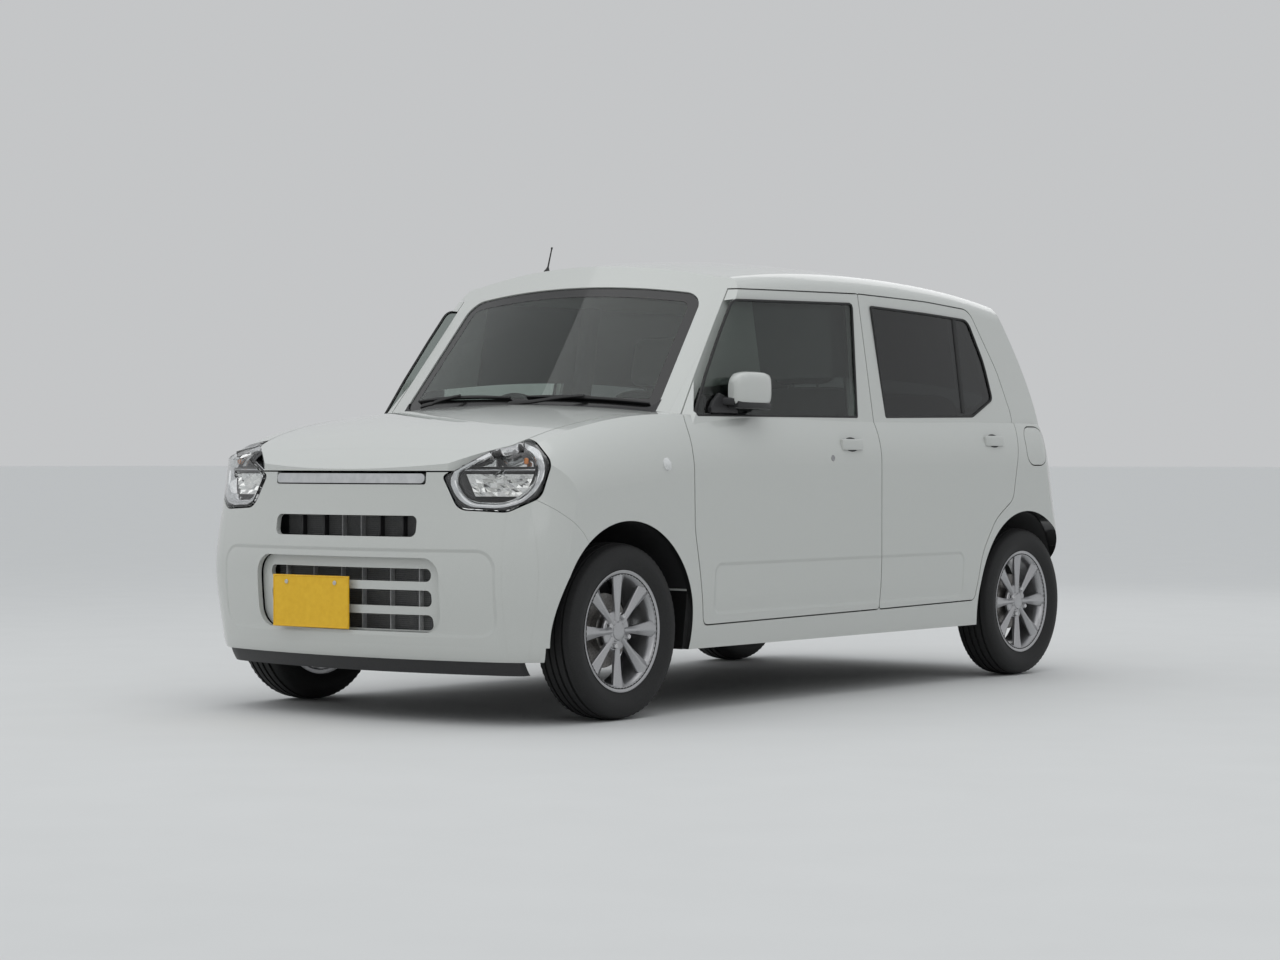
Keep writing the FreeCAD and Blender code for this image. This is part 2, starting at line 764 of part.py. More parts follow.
grille_sink = 26.0
grille_frame = lower_form(grille_sink).common(slab_y(grown(grille_recess, -seat_clearance), -700, -380))
grille_frame = grille_frame.cut(lower_form(grille_sink + 16))
grille_slots = ((439, 479), (362, 412), (289, 336))
for low, high in grille_slots:
    slot = ((-342, low, 18), (-342, high, 18), (342, high, 18), (342, low, 18))
    grille_frame = grille_frame.cut(slab_y(slot, -700, -380))
write("grille_frame", biggest(grille_frame))
grille = lower_form(grille_sink + 16 + seat_clearance).common(box(-375, 375, -700, -380, 286, 655))
grille = grille.cut([lower_form(grille_sink + 22), box(-480, 480, -600, -400, 516, 574)])
write("grille", Part.makeCompound(grille.Solids))
air_dam = lower_form(12).common(box(-620, 620, -700, -170, 155, air_dam_top - 20 - seat_clearance))
air_dam = air_dam.cut(lower_form(34)).cut(wells)
write("air_dam", biggest(air_dam))

plate_width, plate_height, plate_thickness = 330.0, 165.0, 3.0
plate_x, plate_z = -125.0, 368.0
write("front_plate", box(plate_x - plate_width / 2, plate_x + plate_width / 2, -533, -530, plate_z - 82.5, plate_z + 82.5))

# Running gear

knuckle_x = 590.0


def lathe(points, x):
    """A ring turned about the wheel's axle from (distance outwards, radius) points."""
    wire = Part.makePolygon([V(x + a, 0, r) for a, r in (*points, points[0])])
    return Part.Face(wire).revolve(V(0, 0, 0), V(1, 0, 0), 360)


def tyre(x, y):
    half_tyre = tyre_width / 2
    tread = half_tyre - 14
    bead = rim_width / 2 - flange_thickness - seat_clearance
    shoulder = tyre_radius - 52

    def at(a, r):
        return V(x + a, 0, r)

    def arc(start, middle, end):
        return Part.Arc(at(*start), at(*middle), at(*end)).toShape()

    edges = [
        Part.makeLine(at(-bead, bead_radius), at(-bead, flange_radius)),
        arc((-bead, flange_radius), (-half_tyre + 4, flange_radius + 12), (-half_tyre, shoulder)),
        arc((-half_tyre, shoulder), (-half_tyre + 5, tyre_radius - 20), (-tread, tyre_radius - 6)),
        arc((-tread, tyre_radius - 6), (0, tyre_radius), (tread, tyre_radius - 6)),
        arc((tread, tyre_radius - 6), (half_tyre - 5, tyre_radius - 20), (half_tyre, shoulder)),
        arc((half_tyre, shoulder), (half_tyre - 4, flange_radius + 12), (bead, flange_radius)),
        Part.makeLine(at(bead, flange_radius), at(bead, bead_radius)),
        Part.makeLine(at(bead, bead_radius), at(bead - 12, bead_radius)),
        Part.makeLine(at(bead - 12, bead_radius), at(half_tyre - 12, shoulder)),
        arc((half_tyre - 12, shoulder), (0, tyre_radius - 16), (12 - half_tyre, shoulder)),
        Part.makeLine(at(12 - half_tyre, shoulder), at(12 - bead, bead_radius)),
        Part.makeLine(at(12 - bead, bead_radius), at(-bead, bead_radius)),
    ]
    ring = Part.Face(Part.Wire(edges)).revolve(V(0, 0, 0), V(1, 0, 0), 360)
    ring.translate(V(0, y, tyre_radius))
    return ring


spoke_count = 8
hub_face = 38.0


def rim(x, y, side, drum):
    """Rim barrel, spokes, hub and the brake disc or drum that turns with them."""
    half_rim = rim_width / 2
    barrel = lathe(
        (
            (-half_rim, flange_radius - 3),
            (-half_rim, bead_radius - 12),
            (half_rim, bead_radius - 12),
            (half_rim, flange_radius - 3),
            (half_rim - flange_thickness, flange_radius - 3),
            (half_rim - flange_thickness, bead_radius - seat_clearance),
            (flange_thickness - half_rim, bead_radius - seat_clearance),
            (flange_thickness - half_rim, flange_radius - 3),
        ),
        0,
    )
    pieces = [barrel, disc_x(hub_face - 12, hub_face + 6, 0, 0, 66)]
    for i in range(spoke_count):
        spoke = slab_y(((hub_face - 12, 30, 0), (hub_face + 6, 30, 0), (hub_face + 16, 170, 0), (hub_face, 170, 0)), -17, 17)
        spoke.rotate(V(0, 0, 0), V(1, 0, 0), (i + 0.5) * 360 / spoke_count)
        pieces.append(spoke)
    pieces.append(disc_x(-26, hub_face - 11, 0, 0, 36))
    if drum:
        pieces.append(disc_x(-34, 8, 0, 0, 105))
    else:
        pieces.append(disc_x(-26, -14, 0, 0, 118))
    wheel = pieces[0].fuse(pieces[1:])
    for i in range(4):
        hole = rod((hub_face + 3, 0, 50), (hub_face + 20, 0, 50), 11)
        hole.rotate(V(0, 0, 0), V(1, 0, 0), 45 + i * 90)
        wheel = wheel.cut(hole)
    if side < 0:
        wheel = mirrored(wheel)
    wheel.translate(V(x, y, tyre_radius))
    return wheel


for name, track, y, drum in (("front", track_front, 0, False), ("rear", track_rear, wheelbase, True)):
    for word, side in (("left", 1), ("right", -1)):
        x = side * track / 2
        write("tyre_" + name + "_" + word, tyre(x, y))
        write("rim_" + name + "_" + word, rim(x, y, side, drum))

centre_x = track_front / 2
knuckle = rod((560, 0, tyre_radius), (centre_x - 29, 0, tyre_radius), 40)
strut = rod((532, 0, 250), (532, 0, 606), 23)
caliper = box(centre_x - 52, centre_x - 30, -150, -80, tyre_radius - 50, tyre_radius + 50)
arm = box(545, 575, -110, 0, tyre_radius - 22, tyre_radius + 22)
link = box(545, centre_x - 36, -110, -90, tyre_radius - 22, tyre_radius + 22)
neck = box(532, 575, -28, 28, 250, 310)
knuckle_left = knuckle.fuse([strut, caliper, arm, link, neck])
write("knuckle_left", biggest(knuckle_left))
write("knuckle_right", mirrored(biggest(knuckle_left)))

subframe = [box(-member_outer, member_outer, -60, 140, 290, 334)]
for side in (1, -1):
    x0, x1 = sorted((side * member_inner, side * (knuckle_x - 96)))
    subframe.append(box(x0, x1, -25, 45, 200, 225))
    x0, x1 = sorted((side * member_inner, side * member_outer))
    subframe.append(box(x0, x1, -25, 45, 200, 300))
    subframe.append(rod((side * 204, 60, tyre_radius - 10), (side * 496, 0, tyre_radius), 13))
subframe = subframe[0].fuse(subframe[1:])
write("front_suspension", biggest(subframe))
write("engine_block", box(-290, 290, -300, 250, 335, 735).fuse(box(-200, 200, -230, 200, 230, 289)).fuse(box(-200, 200, -230, -61, 230, 340)))
write("radiator", box(-317, 317, frame_front_y + 2, frame_front_y + 26, 246, 699))

axle_y = wheelbase - 110
rear_axle = [rod((-540, axle_y, 290), (540, axle_y, 290), 30)]
for side in (1, -1):
    x0, x1 = sorted((side * 500, side * 540))
    rear_axle.append(box(x0, x1, 2140, wheelbase + 30, 258, 306))
    rear_axle.append(rod((side * 500, wheelbase, tyre_radius), (side * (track_rear / 2 - 37), wheelbase, tyre_radius), 40))
    rear_axle.append(rod((side * 410, axle_y, 290), (side * 410, axle_y, rear_floor_height), 46))
rear_axle = rear_axle[0].fuse(rear_axle[1:])
write("rear_axle", biggest(rear_axle))
tank = slab_x(((1945, 235, 20), (1945, rear_floor_height, 0), (2285, rear_floor_height, 0), (2285, 235, 20)), -330, 330)
write("fuel_tank", tank)
pipe = rod((-120, 200, 178), (-120, 2400, 178), 21)
pipe_up = rod((-120, 2400, 178), (-120, 2520, 300), 21)
muffler = slab_x(((2500, 250, 30), (2500, 380, 30), (2760, 380, 30), (2760, 250, 30)), -300, 100)
tail_pipe = rod((-260, 2650, 262), (-260, 2815, 166), 17)
hangers = [box(-130, -110, 700, 720, 178, 205), box(-130, -110, 1700, 1720, 178, 205), box(-110, -90, 2600, 2640, 370, rear_floor_height)]
write("exhaust", biggest(pipe.fuse([pipe_up, muffler, tail_pipe, Part.makeSphere(21, V(-120, 2400, 178)), *hangers])))

# Cabin

wheel_x = -330.0
dash = slab_x(((front_wall, 620, 30), (front_wall, 930, 0), (560, 950, 60), (640, 880, 60), (610, 700, 60), (470, 600, 60)), -700, 700)
dash = dash.common(lower_form(door_wall + 3, 0).fuse(upper_form(door_wall + 3)))
column_start, column_end = V(wheel_x, 560, 800), V(wheel_x, 745, 868)
dash = dash.fuse(rod(tuple(column_start), tuple(column_end), 24))
write("dashboard", biggest(dash))
column_line = (column_end - column_start).normalize()
steering_hub = column_end + column_line * 2
ring = Part.makeTorus(172, 13, steering_hub + column_line * 22, column_line)
hub = Part.makeCylinder(44, 34, steering_hub, column_line)
spokes = []
for turn in (0, 120, 240):
    bar = Part.makeBox(30, 168, 14, V(-15, 0, -7))
    bar.rotate(V(0, 0, 0), V(0, 0, 1), turn)
    bar.Placement = FreeCAD.Placement(steering_hub + column_line * 20, FreeCAD.Rotation(V(0, 0, 1), column_line)).multiply(bar.Placement)
    spokes.append(bar)
write("steering_wheel", biggest(ring.fuse([hub, *spokes])))

seat_floor = floor_height + 24.0
seat_base = ((900, seat_floor, 0), (870, 500, 60), (900, 560, 40), (1380, 540, 60), (1400, seat_floor, 0))
seat_back = ((1345, 480, 40), (1500, 1080, 36), (1600, 1080, 36), (1480, 470, 40))
head_rest = ((1515, 1085, 26), (1530, 1280, 34), (1620, 1270, 34), (1600, 1082, 26))
front_seats = []
for x in (330.0, -330.0):
    base = slab_x(seat_base, x - 240, x + 240)
    back = slab_x(seat_back, x - 235, x + 235)
    rest = slab_x(head_rest, x - 130, x + 130)
    posts = [rod((x + dx, 1550, 1040), (x + dx, 1570, 1120), 7) for dx in (-60, 60)]
    front_seats.append(base.fuse([back, rest, *posts]))
write("front_seats", Part.makeCompound([biggest(seat) for seat in front_seats]))
seat_y = rear_floor_start + 4
seat_z = rear_floor_height + rear_floor_wall
rear_base = slab_x(((seat_y, seat_z, 0), (seat_y, 560, 40), (seat_y + 390, 545, 40), (seat_y + 400, seat_z, 0)), -440, 440)
rear_back = slab_x(((seat_y + 370, 480, 40), (seat_y + 500, 1080, 30), (seat_y + 590, 1080, 30), (seat_y + 480, 462, 40)), -440, 440)
write("rear_seat", biggest(rear_base.fuse(rear_back)))
print(len(written), sorted(written))
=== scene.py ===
"""A small five-door hatchback of the kei class in pearl white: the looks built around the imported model."""

import math

import bpy
from mathutils import Matrix, Vector
from mathutils.bvhtree import BVHTree


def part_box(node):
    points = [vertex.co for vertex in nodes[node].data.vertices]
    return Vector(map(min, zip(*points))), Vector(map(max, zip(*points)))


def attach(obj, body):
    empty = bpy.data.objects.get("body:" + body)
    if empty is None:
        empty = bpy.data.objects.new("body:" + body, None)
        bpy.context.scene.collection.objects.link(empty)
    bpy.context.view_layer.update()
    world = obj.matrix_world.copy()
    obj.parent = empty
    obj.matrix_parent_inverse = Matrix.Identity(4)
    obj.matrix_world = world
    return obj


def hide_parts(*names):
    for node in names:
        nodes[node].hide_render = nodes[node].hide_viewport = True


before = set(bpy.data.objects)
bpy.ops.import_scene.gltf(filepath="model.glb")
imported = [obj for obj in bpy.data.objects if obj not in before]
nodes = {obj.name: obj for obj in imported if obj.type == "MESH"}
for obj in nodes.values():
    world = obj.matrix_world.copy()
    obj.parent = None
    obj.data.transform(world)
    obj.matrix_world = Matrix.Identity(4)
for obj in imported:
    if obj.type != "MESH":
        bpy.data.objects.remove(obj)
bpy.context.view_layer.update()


# Studio
# A plain pale floor under a soft white sky, with soft lamps above, at both front corners and behind.
# The camera stands where the photograph was taken, low at the front left corner of the car.

front_axle = 1157.5


def at(x, y, z):
    """A point in millimetres, with y measured backwards from the front axle."""
    return Vector((x / 1000, (y - front_axle) / 1000, z / 1000))


def shaped(name, points, faces, material, crease=35):
    """A mesh piece that is smooth except along edges sharper than crease degrees."""
    mesh = bpy.data.meshes.new(name)
    mesh.from_pydata([tuple(p) for p in points], [], faces)
    mesh.validate()
    mesh.update()
    piece = bpy.data.objects.new(name, mesh)
    bpy.context.scene.collection.objects.link(piece)
    mesh.materials.append(material)
    mesh.polygons.foreach_set("use_smooth", [True] * len(mesh.polygons))
    mesh.set_sharp_from_angle(angle=math.radians(crease))
    return piece


def sheet(piece, thickness, offset):
    """Give a surface its thickness."""
    solid = piece.modifiers.new("sheet", "SOLIDIFY")
    solid.thickness = thickness
    solid.offset = offset


def softened(piece, width, segments=2):
    """Round a piece's sharp edges, and give back what does it."""
    rounding = piece.modifiers.new("edge", "BEVEL")
    rounding.width = width
    rounding.segments = segments
    return rounding


def fed(tree, node, inputs):
    """A shader node with its sockets set, each to a plain value or to another node's output."""
    for socket, value in inputs.items():
        if isinstance(value, bpy.types.NodeSocket):
            tree.links.new(value, node.inputs[socket])
        else:
            node.inputs[socket].default_value = value
    return node


def added(tree, kind, inputs=None):
    """A new shader node of one kind, with its sockets set."""
    return fed(tree, tree.nodes.new("ShaderNode" + kind), inputs or {})


def grained(name, dark, light, grain, rough, relief=0.0, metal=0.0, coat=0.0, clear=0.0):
    """A finish whose colour drifts between two shades, with a fine grain in its surface."""
    material = bpy.data.materials.new(name)
    material.use_nodes = True
    tree = material.node_tree
    place = added(tree, "TexCoord").outputs["Object"]
    noise = added(tree, "TexNoise", {"Vector": place, "Scale": grain, "Detail": 4.0}).outputs["Fac"]
    ramp = added(tree, "ValToRGB", {"Fac": noise})
    for stop, position, colour in zip(ramp.color_ramp.elements, (0.3, 0.7), (dark, light)):
        stop.position = position
        stop.color = (*colour, 1.0)
    shader = fed(tree, tree.nodes["Principled BSDF"], {
        "Base Color": ramp.outputs["Color"], "Roughness": rough, "Metallic": metal,
        "Coat Weight": coat, "Coat Roughness": 0.03, "Transmission Weight": clear,
    })
    if relief:
        bump = added(tree, "Bump", {"Strength": relief, "Distance": 0.001, "Height": noise})
        fed(tree, shader, {"Normal": bump.outputs["Normal"]})
    return material


floor_paint = grained("floor_paint", (0.612, 0.612, 0.602), (0.626, 0.626, 0.616), 3.0, 0.75)
floor_reach = 400
floor_corners = [(a * floor_reach, b * floor_reach, 0) for a, b in ((-1, -1), (1, -1), (1, 1), (-1, 1))]
floor = shaped("studio_floor", floor_corners, [(0, 1, 2, 3)], floor_paint)

world = bpy.data.worlds.new("soft_sky")
bpy.context.scene.world = world
world.use_nodes = True
sky_tree = world.node_tree
heading = added(sky_tree, "SeparateXYZ", {0: added(sky_tree, "TexCoord").outputs["Generated"]})
shade = added(sky_tree, "ValToRGB", {"Fac": heading.outputs["Z"]})
shade.color_ramp.elements[0].color = (0.20, 0.21, 0.22, 1.0)
shade.color_ramp.elements[1].color = (1.12, 1.16, 1.20, 1.0)
sky = fed(sky_tree, sky_tree.nodes["Background"], {"Color": shade.outputs["Color"], "Strength": 1.0})
backdrop = added(sky_tree, "Background", {"Color": (0.66, 0.67, 0.68, 1.0), "Strength": 0.84})
rays = added(sky_tree, "LightPath").outputs
seen = added(sky_tree, "Math", {0: rays["Is Camera Ray"], 1: rays["Is Glossy Ray"]})
through = added(sky_tree, "Math", {0: seen.outputs[0], 1: rays["Is Transmission Ray"]})
seen.operation = through.operation = "MAXIMUM"
chosen = added(sky_tree, "MixShader", {"Fac": through.outputs[0], 1: sky.outputs[0], 2: backdrop.outputs[0]})
fed(sky_tree, sky_tree.nodes["World Output"], {"Surface": chosen.outputs[0]})

for lamp_name, spot, width, watts in (
    ("lamp_above", (0.0, -1.5, 6.0), 7.0, 75),
    ("lamp_left_front", (6.0, -5.0, 4.2), 4.0, 25),
    ("lamp_right_front", (-5.5, -6.0, 3.8), 3.5, 30),
    ("lamp_behind", (-1.5, 7.0, 4.5), 4.0, 30),
):
    light = bpy.data.lights.new(lamp_name, "AREA")
    light.size = width
    light.energy = watts
    lamp = bpy.data.objects.new(lamp_name, light)
    lamp.location = spot
    lamp.rotation_euler = (Vector((0, 0, 0.6)) - Vector(spot)).to_track_quat("-Z", "Y").to_euler()
    bpy.context.scene.collection.objects.link(lamp)

camera_turn = math.radians(-38.0727)
camera_tilt = math.radians(0.6328)
view = bpy.data.cameras.new("camera")
view.sensor_width = 36.0
view.lens = 80.757
view.shift_x = 0.01782
view.shift_y = 0.01054
camera = bpy.data.objects.new("camera", view)
camera.location = at(6226.3, -7070.6, 808.2)
camera.rotation_euler = Vector((
    math.sin(camera_turn) * math.cos(camera_tilt),
    math.cos(camera_turn) * math.cos(camera_tilt),
    -math.sin(camera_tilt),
)).to_track_quat("-Z", "Y").to_euler()
bpy.context.scene.collection.objects.link(camera)
bpy.context.scene.camera = camera
bpy.context.scene.view_settings.view_transform = "Standard"


# Painted shell
# Pressed steel panels, with moulded bumpers and mirror shells, all sprayed in the same pearl white.
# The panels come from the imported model: spot-welded sides and roof, bolted fenders, hung doors and lids.

pearl_dark, pearl_light = (0.52, 0.535, 0.51), (0.59, 0.60, 0.57)
pearl_white = grained("pearl_white", pearl_dark, pearl_light, 900.0, 0.34, relief=0.02, coat=1.0)
paint_tree = pearl_white.node_tree
paint = paint_tree.nodes["Principled BSDF"]
paint_place = added(paint_tree, "SeparateXYZ", {0: paint_tree.nodes["Texture Coordinate"].outputs["Object"]})


def worked(operation, first, second=0.0):
    """One sum of the paint's pattern; each operand is a number or another node's output."""
    node = added(paint_tree, "Math", {0: first, 1: second})
    node.operation = operation
    return node.outputs[0]


def far_from(first, second, a, b):
    """Distance of the surface from the point (a, b) in the plane of two of its coordinates."""
    u, v = worked("SUBTRACT", first, a), worked("SUBTRACT", second, b)
    return worked("SQRT", worked("ADD", worked("MULTIPLY", u, u), worked("MULTIPLY", v, v)))


def off_middle(place, middle):
    """How far one coordinate of the surface is from a middle value."""
    return worked("ABSOLUTE", worked("SUBTRACT", place, middle))


soft_edge = 0.007


def pressed_panel(across, up, low, high, radius, depth, where):
    """A shallow pressed panel with soft edges, where is 1 on the faces that carry it."""
    middle = [(a + b) / 2 for a, b in zip(low, high)]
    reach = [(b - a) / 2 - radius for a, b in zip(low, high)]
    sides = []
    for place, centre, half in zip((across, up), middle, reach):
        out = worked("SUBTRACT", off_middle(place, centre), half)
        sides.append(worked("MAXIMUM", out, 0.0))
    squares = worked("ADD", worked("MULTIPLY", sides[0], sides[0]), worked("MULTIPLY", sides[1], sides[1]))
    edge = added(paint_tree, "MapRange", {
        "Value": worked("SQRT", squares), "From Min": radius - soft_edge, "From Max": radius + soft_edge,
    })
    edge.interpolation_type = "SMOOTHSTEP"
    bump = added(paint_tree, "Bump", {
        "Distance": depth, "Height": worked("MULTIPLY", edge.outputs["Result"], where),
        "Normal": paint.inputs["Normal"].links[0].from_socket,
    })
    fed(paint_tree, paint, {"Normal": bump.outputs["Normal"]})


def toned(where, colour):
    """Lay a plain colour over the paint on the faces where the pattern is 1."""
    mix = added(paint_tree, "Mix")
    mix.data_type = "RGBA"
    beneath = paint.inputs["Base Color"].links[0].from_socket
    fed(paint_tree, mix, {"Factor": where, "A": beneath, "B": (*colour, 1.0)})
    fed(paint_tree, paint, {"Base Color": mix.outputs["Result"]})


wide, run, tall = paint_place.outputs
across_car = worked("ABSOLUTE", wide)
on_side = worked("GREATER_THAN", across_car, 0.6)
on_nose = worked("LESS_THAN", run, -1.55)
pressed_panel(run, tall, (-0.7015, 0.317), (0.8405, 0.475), 0.032, 0.0035, on_side)
pressed_panel(wide, tall, (-0.575, 0.276), (0.575, 0.536), 0.06, 0.005, on_nose)
axle_height = 0.2785
front_axle_y, rear_axle_y = -1.1575, 1.3025
in_front_well = worked("LESS_THAN", far_from(run, tall, front_axle_y, axle_height), 0.3456)
in_rear_well = worked("LESS_THAN", far_from(run, tall, rear_axle_y, axle_height), 0.3436)
toned(worked("MAXIMUM", in_front_well, in_rear_well), (0.012, 0.012, 0.012))

# Beside the cabin, what lies inside a wall that leans in with the windows is dark trim.
leaning_wall = worked("SUBTRACT", 0.816, worked("MULTIPLY", tall, 0.15))
inner_side = worked("LESS_THAN", across_car, worked("MINIMUM", 0.660, leaning_wall))
beside_cabin = worked("LESS_THAN", off_middle(run, 0.325), 0.625)
window_band = worked("LESS_THAN", off_middle(tall, 0.8425), 0.5425)
toned(worked("MULTIPLY", worked("MULTIPLY", inner_side, beside_cabin), window_band), (0.045, 0.045, 0.047))


def finish(material, *names):
    """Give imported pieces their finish."""
    for name in names:
        mesh = nodes[name].data
        for slot in nodes[name].material_slots:
            slot.material = material
        if not mesh.materials:
            mesh.materials.append(material)


sides = (("left", 1), ("right", -1))
finish(pearl_white, "hood", "roof_panel", "front_bumper", "rear_bumper")
finish(pearl_white, "tailgate", "fuel_flap", "grille_frame")
for word, side in sides:
    finish(pearl_white, "body_side_" + word, "front_fender_" + word)
    finish(pearl_white, "front_door_" + word, "rear_door_" + word)


# Underside and running gear
# Pressed steel floor and front frame under black chip guard, a cast engine with its gearbox, and steel
# axles, arms, tank and exhaust bolted beneath.

chip_guard = grained("chip_guard", (0.020, 0.020, 0.022), (0.040, 0.040, 0.042), 160.0, 0.7, relief=0.35)
cast_alloy = grained("cast_alloy", (0.20, 0.20, 0.21), (0.30, 0.30, 0.31), 240.0, 0.55, relief=0.4, metal=0.7)
forged_dark, forged_light = (0.10, 0.10, 0.105), (0.17, 0.165, 0.16)
forged_steel = grained("forged_steel", forged_dark, forged_light, 120.0, 0.5, relief=0.25, metal=0.8)
tinned_dark, tinned_light = (0.32, 0.31, 0.30), (0.45, 0.44, 0.42)
tinned_steel = grained("tinned_steel", tinned_dark, tinned_light, 60.0, 0.42, relief=0.1, metal=0.9)
tank_plastic = grained("tank_plastic", (0.015, 0.015, 0.016), (0.03, 0.03, 0.03), 90.0, 0.55, relief=0.2)
finish(chip_guard, "floor_pan", "front_frame", "rear_axle", "front_suspension")
finish(forged_steel, "knuckle_left", "knuckle_right")
finish(cast_alloy, "engine_block")
finish(tinned_steel, "exhaust")
finish(tank_plastic, "fuel_tank")

plastic_dark, plastic_light = (0.016, 0.016, 0.017), (0.028, 0.028, 0.029)
black_plastic = grained("black_plastic", plastic_dark, plastic_light, 420.0, 0.48, relief=0.25)
finish(black_plastic, "cowl", "air_dam", "wheel_liners")


# Rear wheel housings
# Felted black liners pushed into the rear arches and clipped along the lip.
# Each is one bent sheet with a flat inner wall against the body.

liner_felt = grained("liner_felt", (0.012, 0.012, 0.012), (0.026, 0.026, 0.026), 700.0, 0.95, relief=0.7)
liner_radius = 0.3395
liner_inner, liner_outer = 0.4765, 0.716
liner_draw_in, liner_wall = 0.062, 0.09
for word, side in sides:
    points, faces = [], []
    turns = 40
    for i in range(turns + 1):
        angle = math.radians(8 + 184 * i / turns)
        c, s = math.cos(angle), math.sin(angle)
        outer = liner_outer - liner_draw_in * max(c, 0.0) ** 1.5
        ay = rear_axle_y + liner_radius * c
        az = axle_height + liner_radius * s
        points += [(side * outer, ay, az), (side * liner_inner, ay, az)]
        points.append((side * liner_inner, ay - liner_wall * c, az - liner_wall * s))
    for i in range(turns):
        a = i * 3
        faces += [(a, a + 1, a + 4, a + 3), (a + 1, a + 2, a + 5, a + 4)]
    liner = shaped("rear_liner_" + word, points, faces, liner_felt)
    sheet(liner, 0.0015, 0.0)
    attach(liner, "body")


# Glass
# Laminated windshield with a black baked border, and tempered door and tailgate glass, darker at the rear.
# The windshield and tail glass are bonded into rebates; door glass stands in its channels.

def glass(name, tint):
    """Solid glass with a faint haze of dust in its roughness."""
    material = grained(name, tint, tuple(min(c * 1.06, 1.0) for c in tint), 6.0, 0.01, clear=1.0)
    material.node_tree.nodes["Principled BSDF"].inputs["IOR"].default_value = 1.45
    return material


front_tint = glass("front_tint", (0.72, 0.80, 0.76))
side_tint = glass("side_tint", (0.34, 0.38, 0.36))
rear_tint = glass("rear_tint", (0.10, 0.11, 0.11))
finish(front_tint, "windshield")
finish(side_tint, "front_door_glass_left", "front_door_glass_right")
finish(rear_tint, "rear_door_glass_left", "rear_door_glass_right", "tailgate_glass")


def traced(corners, step=6.0):
    """Points round a closed outline of (a, b, corner radius) corners."""
    count = len(corners)
    result = []
    for i in range(count):
        a, b, radius = corners[i]
        pa, pb = corners[i - 1][:2]
        na, nb = corners[(i + 1) % count][:2]
        before, after = Vector((pa - a, pb - b)).normalized(), Vector((na - a, nb - b)).normalized()
        if radius == 0:
            result.append(Vector((a, b)))
            continue
        opening = before.angle(after) / 2
        centre = Vector((a, b)) + (before + after).normalized() * radius / math.sin(opening)
        start = Vector((a, b)) + before * radius / math.tan(opening) - centre
        end = Vector((a, b)) + after * radius / math.tan(opening) - centre
        turn = math.atan2(start.x * end.y - start.y * end.x, start.dot(end))
        parts = max(2, int(abs(turn) * max(radius, 12.0) / step) + 1)
        for k in range(parts + 1):
            c, s = math.cos(turn * k / parts), math.sin(turn * k / parts)
            result.append(centre + Vector((start.x * c - start.y * s, start.x * s + start.y * c)))
    evened = []
    for i, here in enumerate(result):
        there = result[(i + 1) % len(result)]
        pieces = max(1, int((there - here).length / (step * 4)))
        evened += [here.lerp(there, k / pieces) for k in range(pieces) if (there - here).length > 0.05]
    return evened


def inset(loop, depth):
    """The loop moved inwards by depth, point by point."""
    count = len(loop)
    area = sum(loop[i - 1].x * loop[i].y - loop[i].x * loop[i - 1].y for i in range(count))
    side = 1.0 if area > 0 else -1.0
    moved = []
    for i in range(count):
        run = (loop[(i + 1) % count] - loop[i - 1]).normalized()
        moved.append(loop[i] + Vector((-run.y, run.x)) * side * depth)
    return moved


def target(*names):
    """What rays can land on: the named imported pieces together."""
    points, faces = [], []
    for name in names:
        mesh = nodes[name].data
        start = len(points)
        points += [v.co.copy() for v in mesh.vertices]
        faces += [[start + i for i in p.vertices] for p in mesh.polygons]
    return BVHTree.FromPolygons(points, faces)


def landing(tree, origin, heading, lift=0.0):
    """Where a ray from origin lands on the pieces, raised by lift metres towards its start."""
    hit = tree.ray_cast(origin, heading.normalized())[0]
    if hit is None:
        hit = tree.find_nearest(origin + heading.normalized() * 0.2)[0]
    return hit - heading.normalized() * lift


def strip(name, rings, material, closed=True):
    """A surface through rings of equal point count; closed joins each ring's ends."""
    count = len(rings[0])
    points = [p for ring in rings for p in ring]
    faces = []
    for r in range(len(rings) - 1):
        for i in range(count if closed else count - 1):
            j = (i + 1) % count
            faces.append((r * count + i, r * count + j, (r + 1) * count + j, (r + 1) * count + i))
    return shaped(name, points, faces, material)


baked_black = grained("baked_black", (0.006, 0.006, 0.006), (0.010, 0.010, 0.010), 500.0, 0.25, coat=0.4)
pane_foot, pane_head = (292, 985), (655, 1412)
glass_run = (at(0, *pane_head) - at(0, *pane_foot)).normalized()
glass_out = Vector((0, -glass_run.z, glass_run.y))
windshield_outline = ((556, 56, 50), (511, 556, 70), (-511, 556, 70), (-556, 56, 50), (0, -8, 2600))
windshield_loop = traced(windshield_outline, 12.0)
windshield_face = target("windshield")


def on_windshield(a, b, lift):
    """The point of the windshield's outer face at x = a and b millimetres up the glass."""
    start = at(a, *pane_foot) + glass_run * b / 1000 + glass_out * 0.3
    return landing(windshield_face, start, -glass_out, lift)


border_rings = []
for depth in (2, 14, 26, 40):
    border_rings.append([on_windshield(p.x * 0.997, p.y, 0.0004) for p in inset(windshield_loop, depth)])
border = strip("windshield_border", border_rings, baked_black)
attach(border, "body")


# Window rubbers
# Extruded black rubber pressed round each door's window opening.
# The rear door carries a black sash where its fixed corner glass begins.

rubber = grained("rubber", (0.010, 0.010, 0.010), (0.020, 0.020, 0.020), 300.0, 0.6, relief=0.2)
front_window = (
    (404, 956, 12), (498, 1098, 600), (598, 1232, 300), (692, 1350, 60), (1396, 1366, 16), (1348, 961, 8),
)
rear_window = (
    (1526, 963, 8), (1512, 1361, 8), (1893, 1350, 900), (2188, 1338, 60), (2270, 1180, 300), (2298, 1040, 24),
    (2130, 972, 60),
)


